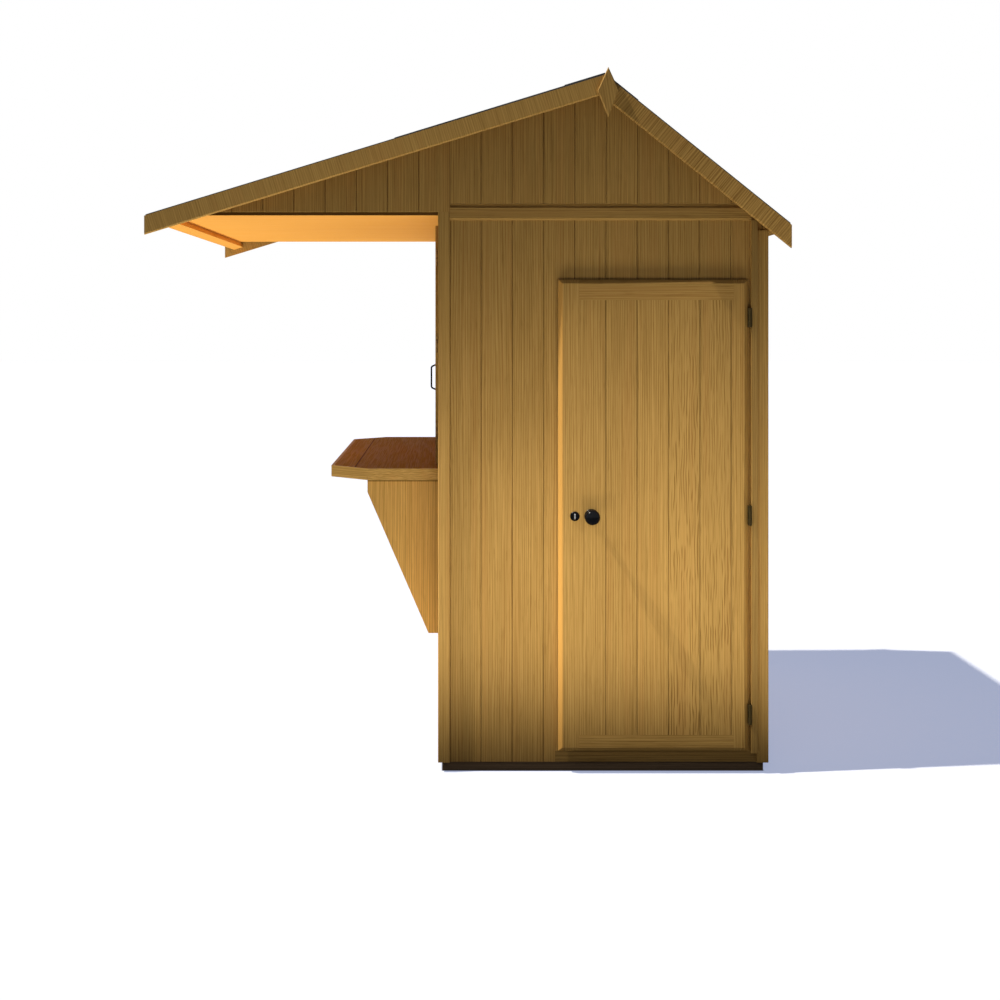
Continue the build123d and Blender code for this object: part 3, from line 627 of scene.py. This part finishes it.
def select_edges(piece, wanted):
    """Selects the edges whose two ends pass a test."""
    bpy.ops.mesh.select_mode(type="EDGE")
    bpy.ops.mesh.select_all(action="DESELECT")
    mesh = bmesh.from_edit_mesh(piece.data)
    for edge in mesh.edges:
        if wanted(edge.verts[0].co, edge.verts[1].co):
            edge.select_set(True)
    bmesh.update_edit_mesh(piece.data)


def near(first, second):
    return abs(first - second) < SAME_PLACE


def lay_boards(piece, spans, across, along, outer, first_joint, pitch, bevel):
    """Lays boards side by side over each span, and bevels their meeting edges on the outer face.

    outer is the axis that the face looks along and the face's place on it. A joint that would leave a
    sliver at either side of a span isn't cut.
    """
    joints = set()
    for low, high in spans:
        step = math.ceil((low[across] - first_joint) / pitch + SLIVER_SHARE)
        cuts = [low[across]]
        while (joint := first_joint + step * pitch) < high[across] - SLIVER:
            cuts.append(joint)
            joints.add(round(joint, 6))
            step += 1
        cuts.append(high[across])
        for start, end in zip(cuts, cuts[1:]):
            corner, opposite = Vector(low), Vector(high)
            corner[across], opposite[across] = start, end
            add_timber(corner, opposite)
    axis, face = outer

    def at_joint(a, b):
        outside = near(a[axis], face) and near(b[axis], face)
        lengthways = near(a[across], b[across]) and not near(a[along], b[along])
        return outside and lengthways and any(near(a[across], joint) for joint in joints)

    select_edges(piece, at_joint)
    bpy.ops.mesh.bevel(offset=bevel, segments=1, affect="EDGES")


def clad(name, spans, across, along, outer, rows, bevel, finish, replaced, body="building"):
    """Makes a piece that is only rows of boards."""
    piece = begin_piece(name)
    lay_boards(piece, spans, across, along, outer, *rows, bevel)
    end_piece(piece, body, finish, replaced)


def cut_away(piece, point, normal):
    """Cuts the piece by a plane, removes what lies beyond it and closes the cut."""
    bpy.ops.mesh.select_all(action="SELECT")
    bpy.ops.mesh.bisect(plane_co=point, plane_no=normal, use_fill=True, clear_outer=True)


def mesh_box(node):
    low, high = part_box(node)
    return Vector(low), Vector(high)


def corners_of(node):
    """Places of a node's corners."""
    return [vertex.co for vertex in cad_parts[node].data.vertices]


def halves(node):
    """Boxes of a node's two halves, on either side of the gap in its middle."""
    low, high = mesh_box(node)
    gap = min(abs(corner.x) for corner in corners_of(node))
    return [(low, (-gap, high.y, high.z)), ((gap, low.y, low.z), high)]


def pitch_of(node):
    """Pitch of a sloping board, from its box."""
    low, high = mesh_box(node)
    return math.atan2(high.z - low.z, high.y - low.y)


def ends_of(node, tone):
    """How far to each side a node's ends lie, and the painted shade that they are given."""
    return mesh_box(node)[1].x - END_SKIN, tone


class GARDENBAR_OT_gable_walls(bpy.types.Operator):
    """Boards of the two gable walls, with V joints"""

    bl_idname = "garden_bar.gable_walls"
    bl_label = "Gable walls"

    def execute(self, context):
        timber = context.scene.garden_bar_timber
        front_low, front_high = mesh_box("right_wall_front")
        rear_low, rear_high = mesh_box("right_wall_rear")
        head_low, head_high = mesh_box("right_wall_header")
        sill_low, sill_high = mesh_box("door_sill")
        spans = [
            (front_low, (front_high.x, sill_low.y, front_high.z)),
            ((front_low.x, sill_low.y, sill_high.z), front_high),
            (head_low, head_high),
            ((rear_low.x, rear_low.y, sill_high.z), (rear_high.x, sill_high.y, rear_high.z)),
            ((rear_low.x, sill_high.y, rear_low.z), rear_high),
        ]
        rows = (-timber.first_joint, timber.board_pitch)
        finish = stained(timber, "wall_boards", upright, seed=3.0, rows=rows)
        clad("right_wall_boards", spans, Y, Z, (X, front_high.x), rows, timber.joint_bevel, finish,
             ("right_wall_front", "right_wall_rear", "right_wall_header"))
        low, high = mesh_box("left_wall")
        clad("left_wall_boards", [(low, high)], Y, Z, (X, low.x), rows, timber.joint_bevel, finish,
             ("left_wall",))
        return {"FINISHED"}


class GARDENBAR_OT_gable_panels(bpy.types.Operator):
    """Boards of the two gables under the roof, cut to its slopes"""

    bl_idname = "garden_bar.gable_panels"
    bl_label = "Gable panels"

    def execute(self, context):
        timber = context.scene.garden_bar_timber
        low, high = mesh_box("gable_panels")
        inner = mesh_box("gable_chords")[1].x
        corners = corners_of("gable_panels")
        ridge_y = min((corner.y for corner in corners if near(corner.z, high.z)), key=abs)
        reveal_z = min(corner.z for corner in corners if corner.y > timber.first_joint - REVEAL_REACH)
        front = math.atan2(high.z - low.z, ridge_y - low.y)
        rear = math.atan2(high.z - reveal_z, high.y - ridge_y)
        rows = (-timber.first_joint, timber.board_pitch)
        finish = stained(timber, "gable_boards", upright, seed=3.0, rows=rows, shade=1.06)
        for side, name in ((1, "right_gable_boards"), (-1, "left_gable_boards")):
            near_x, far_x = sorted((side * inner, side * high.x))
            piece = begin_piece(name)
            spans = [
                ((near_x, low.y, low.z), (far_x, -timber.first_joint, high.z)),
                ((near_x, -timber.first_joint, reveal_z), (far_x, high.y, high.z)),
            ]
            lay_boards(piece, spans, Y, Z, (X, side * high.x), *rows, timber.joint_bevel)
            cut_away(piece, (0, ridge_y, high.z), (0, -math.sin(front), math.cos(front)))
            cut_away(piece, (0, ridge_y, high.z), (0, math.sin(rear), math.cos(rear)))
            end_piece(piece, "building", finish,
                      ("gable_panels",) if side == 1 else ())
        return {"FINISHED"}


class GARDENBAR_OT_long_walls(bpy.types.Operator):
    """Boards of the front wall round the hatch, and of the back wall"""

    bl_idname = "garden_bar.long_walls"
    bl_label = "Long walls"

    def execute(self, context):
        timber = context.scene.garden_bar_timber
        rows = (0.0, timber.board_pitch)
        finish = stained(timber, "long_wall_boards", upright_long, seed=40.0, rows=rows)
        low, high = mesh_box("front_wall_lower")
        spans = [(low, high), *halves("front_wall_sides"), mesh_box("front_wall_upper")]
        clad("front_wall_boards", spans, X, Z, (Y, low.y), rows, timber.joint_bevel, finish,
             ("front_wall_lower", "front_wall_sides", "front_wall_upper"))
        low, high = mesh_box("back_wall")
        clad("back_wall_boards", [(low, high)], X, Z, (Y, high.y), rows, timber.joint_bevel, finish,
             ("back_wall",))
        return {"FINISHED"}


class GARDENBAR_OT_shutters(bpy.types.Operator):
    """Boards of the pair of shutters over the hatch"""

    bl_idname = "garden_bar.shutters"
    bl_label = "Shutters"

    def execute(self, context):
        timber = context.scene.garden_bar_timber
        low, high = mesh_box("shutters")
        rows = (0.0, timber.board_pitch)
        piece = begin_piece("shutter_boards")
        spans = halves("shutters")
        lay_boards(piece, spans, X, Z, (Y, low.y), *rows, timber.joint_bevel)
        rim_edges = [corner[X] for span in spans for corner in span]

        def on_rim(a, b):
            level = near(a.z, b.z) and (near(a.z, low.z) or near(a.z, high.z))
            plumb = near(a.x, b.x) and any(near(a.x, place) for place in rim_edges)
            return near(a.y, low.y) and near(b.y, low.y) and (level or plumb)

        select_edges(piece, on_rim)
        bpy.ops.mesh.bevel(offset=timber.joint_bevel * SHUTTER_RIM_BEVEL, segments=2, affect="EDGES")
        finish = stained(timber, "shutter_wood", upright_long, seed=80.0, rows=rows)
        end_piece(piece, "building", finish, ("shutters",))
        return {"FINISHED"}


class GARDENBAR_OT_door_boards(bpy.types.Operator):
    """Boards of the door between its stiles and rails"""

    bl_idname = "garden_bar.door_boards"
    bl_label = "Door boards"

    def execute(self, context):
        timber = context.scene.garden_bar_timber
        low, high = mesh_box("door_boards")
        rows = (timber.door_first_joint, timber.board_pitch)
        finish = stained(timber, "door_wood", upright, seed=120.0, rows=rows, coarse=COARSE_DOOR_BOARDS,
                         shade=0.95)
        clad("door_face_boards", [(low, high)], Y, Z, (X, high.x), rows, timber.joint_bevel * DOOR_BEVEL,
             finish, ("door_boards",), body="door")
        return {"FINISHED"}


class GARDENBAR_OT_floor(bpy.types.Operator):
    """Floor boards inside"""

    bl_idname = "garden_bar.floor"
    bl_label = "Floor"

    def execute(self, context):
        timber = context.scene.garden_bar_timber
        low, high = mesh_box("floor_boards")
        rows = (0.0, timber.board_pitch)
        finish = stained(timber, "floor_wood", flat_long, seed=160.0, rows=rows, shade=0.9, weathered=False)
        clad("floor_planks", [(low, high)], Y, X, (Z, high.z), rows, timber.joint_bevel * FLOOR_BEVEL,
             finish, ("floor_boards",))
        return {"FINISHED"}


def slope_of(node, side):
    """Top edge at the ridge and at the eave of a sloping sheet, as places across and up."""
    corners = corners_of(node)
    ridge = max(corners, key=lambda corner: corner.z)
    eave = max(corners, key=lambda corner: (round(side * corner.y, 5), corner.z))
    return Vector((0, ridge.y, ridge.z)), Vector((0, eave.y, eave.z))


def lie_of(ridge, eave):
    """Directions down a slope and square to it, and its tilt about X."""
    down = (eave - ridge).normalized()
    side = 1 if down.y > 0 else -1
    up = Vector((0, -side * down.z, side * down.y))
    return down, up, math.atan2(side * down.z, side * down.y)


def add_sheet(ridge, eave, length, low_x, high_x, lift, thickness):
    """Adds a sheet that lies on a slope, from the ridge down, to the piece being edited."""
    down, up, tilt = lie_of(ridge, eave)
    middle = ridge + down * length / 2 + up * (lift + thickness / 2)
    middle.x = (low_x + high_x) / 2
    bpy.ops.mesh.primitive_cube_add(
        size=1.0, location=middle, rotation=(tilt, 0, 0), scale=(high_x - low_x, length, thickness))


class GARDENBAR_OT_roof_felt(bpy.types.Operator):
    """Upper course of felt and the cap over the ridge"""

    bl_idname = "garden_bar.roof_felt"
    bl_label = "Roof felt"

    def execute(self, context):
        roof = context.scene.garden_bar_roof
        felt = mineral_felt(roof)
        cover(("front_roof_felt", "rear_roof_felt"), felt)
        low, high = mesh_box("front_roof_felt")
        sheet = roof.sheet_thickness
        ridge, eave = slope_of("front_roof_felt", -1)
        piece = begin_piece("front_felt_course")
        course = (eave - ridge).length - roof.course_width + roof.course_lap
        add_sheet(ridge, eave, course, low.x, high.x, 0, sheet)
        end_piece(piece, "building", felt)
        piece = begin_piece("ridge_cap")
        add_sheet(ridge, eave, roof.cap_width, low.x, high.x, sheet, sheet)
        ridge, eave = slope_of("rear_roof_felt", 1)
        add_sheet(ridge, eave, roof.cap_width, low.x, high.x, 0, sheet)
        end_piece(piece, "building", felt)
        return {"FINISHED"}


class GARDENBAR_OT_roof_nails(bpy.types.Operator):
    """Clout nails along the edges and laps of the felt"""

    bl_idname = "garden_bar.roof_nails"
    bl_label = "Roof nails"

    def execute(self, context):
        roof = context.scene.garden_bar_roof
        low, high = mesh_box("front_roof_felt")
        inset = roof.nail_inset
        sheet = roof.sheet_thickness
        width = high.x - low.x - 2 * inset
        piece = begin_piece("clout_nails")
        for node, side in (("front_roof_felt", -1), ("rear_roof_felt", 1)):
            ridge, eave = slope_of(node, side)
            length = (eave - ridge).length
            course = length - roof.course_width + roof.course_lap if side == -1 else 0.0
            lines = [(length - inset, 0.0), (roof.cap_width - inset, 2 * sheet if course else sheet)]
            if course:
                lines.insert(1, (course - inset, sheet))
            count = round(width / roof.nail_spacing)
            for place, lift in lines:
                for index in range(count + 1):
                    x = low.x + inset + width * index / count
                    self.add_nail(roof, ridge, eave, place, x, lift)
            rows = math.floor((length - roof.cap_width) / roof.nail_spacing)
            for index in range(1, rows):
                place = roof.cap_width + index * roof.nail_spacing
                for x in (low.x + inset, high.x - inset):
                    self.add_nail(roof, ridge, eave, place, x, sheet if place < course else 0.0)
        end_piece(piece, "building", galvanised("galvanised_steel"))
        return {"FINISHED"}

    def add_nail(self, roof, ridge, eave, place, x, lift):
        down, up, tilt = lie_of(ridge, eave)
        middle = ridge + down * place + up * (lift + roof.nail_height / 2)
        bpy.ops.mesh.primitive_cone_add(
            vertices=8, radius1=roof.nail_radius, radius2=roof.nail_radius * NAIL_TAPER,
            depth=roof.nail_height, location=(x, middle.y, middle.z), rotation=(tilt, 0, 0))


class GARDENBAR_OT_knob(bpy.types.Operator):
    """Turned oval knob with its neck, ring and spindle"""

    bl_idname = "garden_bar.knob"
    bl_label = "Knob"

    def execute(self, context):
        enamel = black_enamel()
        low, high = mesh_box("outer_knob")
        radius = (high.z - low.z) / 2
        half = radius * KNOB_FLATNESS
        y, z = (low.y + high.y) / 2, (low.z + high.z) / 2
        plate = mesh_box("door_plates")[1].x
        neck_end = high.x - 2 * half * NECK_DEPTH
        piece = begin_piece("turned_knob")
        bpy.ops.mesh.primitive_uv_sphere_add(
            segments=48, ring_count=24, radius=1.0, scale=(radius, radius, half),
            location=(high.x - half, y, z), rotation=SIDE_ON)
        bpy.ops.mesh.primitive_cone_add(
            vertices=40, radius1=radius * NECK_WIDE, radius2=radius * NECK_NARROW,
            depth=neck_end - plate - ROSE_PLAY,
            location=((neck_end + plate + ROSE_PLAY) / 2, y, z), rotation=SIDE_ON)
        bpy.ops.mesh.primitive_torus_add(
            major_segments=48, minor_segments=8, major_radius=radius * KNOB_RING,
            minor_radius=radius * KNOB_RING_THICKNESS,
            location=(high.x - half * KNOB_RING_DEPTH, y, z), rotation=SIDE_ON)
        bpy.ops.mesh.primitive_cylinder_add(
            vertices=16, radius=SPINDLE_RADIUS, depth=plate - low.x + SPINDLE_LAP,
            location=((plate + SPINDLE_LAP + low.x) / 2, y, z), rotation=SIDE_ON)
        bpy.ops.object.mode_set(mode="OBJECT")
        bpy.ops.object.shade_smooth_by_angle(angle=math.radians(40))
        bpy.ops.object.mode_set(mode="EDIT")
        end_piece(piece, "knob", enamel, ("outer_knob",))
        return {"FINISHED"}


class GARDENBAR_OT_keyhole_cover(bpy.types.Operator):
    """Steel drop cover that hangs on its pin over the keyhole"""

    bl_idname = "garden_bar.keyhole_cover"
    bl_label = "Keyhole cover"

    def execute(self, context):
        lock = context.scene.garden_bar_lock
        knob_low, knob_high = mesh_box("outer_knob")
        plate = [corner for corner in corners_of("door_plates") if corner.y < knob_low.y]
        face = max(corner.x for corner in plate)
        y = (min(corner.y for corner in plate) + max(corner.y for corner in plate)) / 2
        z = (knob_low.z + knob_high.z) / 2 + (lock.cover_length - lock.cover_width) / 2
        front = face + lock.cover_thickness
        piece = begin_piece("keyhole_cover")
        bpy.ops.mesh.primitive_cylinder_add(
            vertices=24, radius=lock.cover_width / 2, depth=lock.cover_thickness,
            location=((face + front) / 2, y, z), rotation=SIDE_ON)
        select_edges(piece, lambda a, b: a.z < z - SAME_PLACE and b.z < z - SAME_PLACE)
        bpy.ops.transform.translate(value=(0, 0, lock.cover_width - lock.cover_length))
        select_edges(piece, lambda a, b: near(a.x, front) and near(b.x, front))
        bpy.ops.mesh.bevel(offset=lock.cover_thickness * COVER_BEVEL, segments=2, affect="EDGES")
        bpy.ops.mesh.primitive_uv_sphere_add(
            segments=12, ring_count=8, radius=lock.cover_width * COVER_PIN,
            location=(front, y, z), scale=(COVER_PIN_FLATNESS, 1, 1))
        end_piece(piece, "door", galvanised("bright_steel"))
        return {"FINISHED"}


class GARDENBAR_OT_cad_finishes(bpy.types.Operator):
    """Finishes of the frame, strips, barge boards, shelf, door frame and ironmongery"""

    bl_idname = "garden_bar.cad_finishes"
    bl_label = "Finishes"

    def execute(self, context):
        timber = context.scene.garden_bar_timber
        light, dark = tuple(timber.light), tuple(timber.dark)
        plain = (light, dark)
        # pale holds the soffit colour, whose paleness is painted bounce light, for the soffit and the front
        # eave batten
        pale = (tuple(timber.soffit_painted_light), light)
        shelf = (tuple(timber.shelf_light), tuple(timber.shelf_dark))
        # The bracket's warmer colour is painted warm light bounced from the ground
        bracket = ((light[0] * 1.04, light[1] * 0.98, light[2] * 0.88), dark)
        front = across_slope(pitch_of("front_roof_board"))
        rear = across_slope(-pitch_of("rear_roof_board"))
        front_barge = {"contrast": 0.8, "shade": 1.24}
        rear_barge = {"contrast": 1.4, "shade": 1.27}
        no_height_shade = {"weathered": False}
        painted_edge_light = {"edge": mesh_box("door_stiles")[0].y + PAINTED_HIGHLIGHT_WIDTH}
        # The jamb's lifted tone is painted light in the narrow gap by the door; its outer face gets painted
        # shade
        jamb = {"shade": 1.35, "contrast": 0.8, "ends": ends_of("hinge_jamb", 0.47)}
        # The bracket's lifted tone and paler foot are painted light, and its top gets painted shade under
        # the edging
        cut = {"shade": 1.08, "top": mesh_box("shelf_edging")[0].z, "foot": mesh_box("shelf_brackets")[0].z}
        # The soffit's ends get painted shade: the dark band under the gable's boards
        soffit = {"contrast": 0.22, "ends": ends_of("canopy_soffit", 0.12), "weathered": False}
        boards = {"rows": (mesh_box("shelf_main_board")[0].y, ONE_JOINT), "seam": 0.3, "gloss": 0.008}
        timbers = (
            ("post_wood", post, plain, 200.0, {"contrast": 0.8}, ("corner_strips",)),
            ("jamb_wood", post, plain, 201.0, jamb, ("hinge_jamb",)),
            ("stile_wood", upright, plain, 203.0, painted_edge_light, ("door_stiles",)),
            ("finial_wood", across_slope(FINIAL_LEAN), plain, 207.0, {"shade": 1.14}, ("finials",)),
            ("bracket_wood", upright, bracket, 214.0, cut, ("shelf_brackets",)),
            ("rail_wood", crosswise, plain, 221.0, {}, ("door_rails", "door_ledges", "gable_cover_strips")),
            # The sill's darker tone is painted shade: the door's shadow over it
            ("sill_wood", crosswise, plain, 225.0, {"shade": 0.72}, ("door_sill",)),
            ("shelf_rim_wood", rim, plain, 228.0, {"shade": 1.07}, ("shelf_edging",)),
            ("front_barge_wood", front, plain, 235.0, front_barge, ("front_barge_boards",)),
            ("rear_barge_wood", rear, plain, 242.0, rear_barge, ("rear_barge_boards",)),
            ("batten_wood", lengthwise, plain, 249.0, no_height_shade,
             ("rear_eave_batten", "front_roof_board", "rear_roof_board", "roof_purlins", "soffit_battens",
              "shelf_bearers", "shutter_battens")),
            ("canopy_batten_wood", lengthwise, pale, 253.0, {"contrast": 0.3, **no_height_shade},
             ("front_eave_batten",)),
            ("soffit_wood", flat_deep, pale, 256.0, soffit, ("canopy_soffit",)),
            ("shelf_wood", flat_long, shelf, 263.0, {"shade": 0.92, **boards}, ("shelf_main_board",)),
            ("shelf_front_wood", flat_long, shelf, 270.0, {"shade": 1.12, **boards},
             ("shelf_front_board",)),
            ("stud_wood", post, plain, 277.0, no_height_shade, ("front_back_studs", "side_studs")),
            ("frame_rail_wood", crosswise, plain, 284.0, no_height_shade,
             ("side_rails", "gable_chords", "front_rafters", "rear_rafters")),
            ("bearer_wood", crosswise, BEARER_COLOURS, 291.0, no_height_shade, ("floor_bearers",)),
            ("frame_long_rail_wood", lengthwise, plain, 298.0, no_height_shade, ("front_back_rails",)),
        )
        for name, run, colours, seed, looks, nodes in timbers:
            cover(nodes, wood(name, run, *colours, seed, **looks))
        cover(("inner_knob", "door_plates", "lock_case", "lock_keep", "pull_handle"), black_enamel())
        cover(("door_hinge_leaves", "jamb_hinge_leaves"), dark_steel())
        cover(("shutter_hinges",), brass())
        return {"FINISHED"}


# Measures of the stage. Each lamp has its place, its turn, its two sizes and its share of the set power

FLOOR_SIZE = 120.0
SUN_PLACE = (0, -4, 6)
SUN_FROM = (0.074, -0.536, 0.842)
SUN_WIDTH = math.radians(0.9)
SENSOR_WIDTH = 36.0
SHIFT_ACROSS = 0.046
SHIFT_UP = -0.176
FACING_UP = (math.pi, 0, 0)
FACING_DOOR = (math.pi / 2, 0, math.pi / 2)
FACING_FAR_GABLE = (math.pi / 2, 0, -math.pi / 2)
GROUND_LAMPS = (
    ((1.78, -0.2, 0.02), FACING_UP, (0.6, 2.8), 1.12),
    ((-1.78, -0.2, 0.02), FACING_UP, (0.6, 2.8), 1.12),
    ((0.0, 1.5, 0.02), FACING_UP, (2.4, 0.6), 1.0),
    ((0.0, -1.95, 0.02), FACING_UP, (2.6, 1.3), 2.35),
)
SOFT_BOXES = (
    ((2.5, 0.0, 1.10), FACING_DOOR, (1.6, 0.6), 1.0),
    ((-2.5, 0.0, 1.10), FACING_FAR_GABLE, (1.6, 0.6), 1.0),
)
BOX_SPREAD = math.radians(100)
FILL_COLOUR = (1.0, 0.94, 0.82)
WHITE = (1.0, 1.0, 1.0)

# Greys of the floor: the two that the camera sees, what other rays meet, and the painted shade under the
# building, which starts and ends at these distances from the edge of the bearers
FLOOR_DULL = (0.43, 0.43, 0.43)
FLOOR_BRIGHT = (0.45, 0.45, 0.45)
FLOOR_UNSEEN = (0.12, 0.12, 0.12)
FLOOR_PAINTED_SHADE = (0.04, 0.04, 0.04)
UNDER_DIMMING = 0.85
UNDER_SIDE = (0.003, 0.012)
UNDER_FRONT = (-0.004, 0.006)


class GARDENBAR_OT_stage(bpy.types.Operator):
    """Pale floor, sun, soft fill lights and the camera"""

    bl_idname = "garden_bar.stage"
    bl_label = "Floor, lights and camera"

    def execute(self, context):
        stage = context.scene.garden_bar_stage
        deselect_all()
        bpy.ops.mesh.primitive_plane_add(size=FLOOR_SIZE)
        floor = context.object
        floor.name = "pale_floor"
        self.paint_floor(floor, stage)
        self.make_sky(context, stage)
        bpy.ops.object.light_add(type="SUN", location=SUN_PLACE)
        sun = context.object
        sun.data.energy = stage.sun_strength
        sun.data.color = stage.sun_colour
        sun.data.angle = SUN_WIDTH
        sun.rotation_euler = Vector(SUN_FROM).to_track_quat("Z", "Y").to_euler()
        for lamp in GROUND_LAMPS:
            self.add_lamp(stage.fill_power, *lamp)
        for lamp in SOFT_BOXES:
            self.add_lamp(stage.box_power, *lamp).spread = BOX_SPREAD
        bpy.ops.object.camera_add(location=stage.eye, rotation=FACING_DOOR)
        camera = context.object
        camera.data.lens = stage.lens
        camera.data.sensor_width = SENSOR_WIDTH
        camera.data.shift_x = SHIFT_ACROSS
        camera.data.shift_y = SHIFT_UP
        context.scene.camera = camera
        context.scene.view_settings.view_transform = "Standard"
        return {"FINISHED"}

    def paint_floor(self, floor, stage):
        """Pale ground that keeps a cool colour in shade, with painted shade under the building."""
        finish = Finish("pale_floor")
        seen = finish.node("ShaderNodeLightPath", output="Is Camera Ray")
        x, y, z = finish.place()
        cloud = finish.noise(x * 0.4, y * 0.4, z)
        reach = mesh_box("floor_bearers")[1]
        # Painted shade on the floor under the building: darker colour and dimmer glow inside the bearers'
        # reach
        beside = abs(x).eased(reach.x + UNDER_SIDE[0], reach.x + UNDER_SIDE[1])
        before = abs(y).eased(reach.y + UNDER_FRONT[0], reach.y + UNDER_FRONT[1])
        under = (1.0 - beside) * (1.0 - before)
        open_ground = finish.mixed(seen, FLOOR_UNSEEN, finish.mixed(cloud, FLOOR_DULL, FLOOR_BRIGHT))
        colour = finish.mixed(under, open_ground, FLOOR_PAINTED_SHADE)
        strength = seen * (1.0 - UNDER_DIMMING * under)
        body = finish.node("ShaderNodeBsdfDiffuse", inputs={"Color": colour})
        glow = finish.node("ShaderNodeEmission", inputs={
            "Color": tuple(stage.shade_colour), "Strength": strength})
        put_on(floor, finish.shown(finish.node("ShaderNodeAddShader", inputs={0: body, 1: glow})))

    def make_sky(self, context, stage):
        """Dim light from all round, that the camera and reflections see as white."""
        sky = Finish("studio", "worlds", "ShaderNodeOutputWorld")
        seen = sky.node("ShaderNodeLightPath", output="Is Camera Ray")
        for ray in ("Is Glossy Ray", "Is Transmission Ray"):
            seen = seen.worked("MAXIMUM", seen, sky.node("ShaderNodeLightPath", output=ray))
        dim = sky.node("ShaderNodeBackground", inputs={"Color": tuple(stage.sky_colour)})
        white = sky.node("ShaderNodeBackground", inputs={"Color": WHITE})
        context.scene.world = sky.shown(sky.node("ShaderNodeMixShader", inputs={0: seen, 1: dim, 2: white}))

    def add_lamp(self, power, place, turn, size, share):
        """Adds a lamp that shines as lit ground does, or a low soft box."""
        bpy.ops.object.light_add(type="AREA", location=place, rotation=turn)
        lamp = bpy.context.object
        lamp.data.shape = "RECTANGLE"
        lamp.data.size, lamp.data.size_y = size
        lamp.data.energy = power * share
        lamp.data.color = FILL_COLOUR
        lamp.visible_camera = False
        lamp.visible_glossy = False
        return lamp.data


MAKING = (
    GARDENBAR_OT_gable_walls,
    GARDENBAR_OT_gable_panels,
    GARDENBAR_OT_long_walls,
    GARDENBAR_OT_shutters,
    GARDENBAR_OT_door_boards,
    GARDENBAR_OT_floor,
    GARDENBAR_OT_roof_felt,
    GARDENBAR_OT_roof_nails,
    GARDENBAR_OT_knob,
    GARDENBAR_OT_keyhole_cover,
    GARDENBAR_OT_cad_finishes,
    GARDENBAR_OT_stage,
)


class GARDENBAR_PT_panel(bpy.types.Panel):
    """Lists the pieces and settings of the garden bar"""

    bl_idname = "GARDENBAR_PT_panel"
    bl_label = "Garden bar"
    bl_space_type = "VIEW_3D"
    bl_region_type = "UI"
    bl_category = "Garden bar"

    def draw(self, context):
        scene = context.scene
        for group in (getattr(scene, name) for name in SETTINGS):
            box = self.layout.box()
            for name in group.bl_rna.properties.keys():
                if name not in ("name", "rna_type"):
                    box.prop(group, name)
        for making in MAKING:
            self.layout.operator(making.bl_idname)


SETTINGS = {
    "garden_bar_timber": GardenBarTimber,
    "garden_bar_roof": GardenBarRoof,
    "garden_bar_lock": GardenBarLock,
    "garden_bar_stage": GardenBarStage,
}
CLASSES = (*SETTINGS.values(), *MAKING, GARDENBAR_PT_panel)


def register():
    for kind in CLASSES:
        bpy.utils.register_class(kind)
    for name, group in SETTINGS.items():
        setattr(bpy.types.Scene, name, bpy.props.PointerProperty(type=group))


def unregister():
    for name in SETTINGS:
        delattr(bpy.types.Scene, name)
    for kind in reversed(CLASSES):
        bpy.utils.unregister_class(kind)


def main():
    register()
    for making in MAKING:
        group, name = making.bl_idname.split(".")
        getattr(getattr(bpy.ops, group), name)()
    deselect_all()


if __name__ == "__main__":
    main()
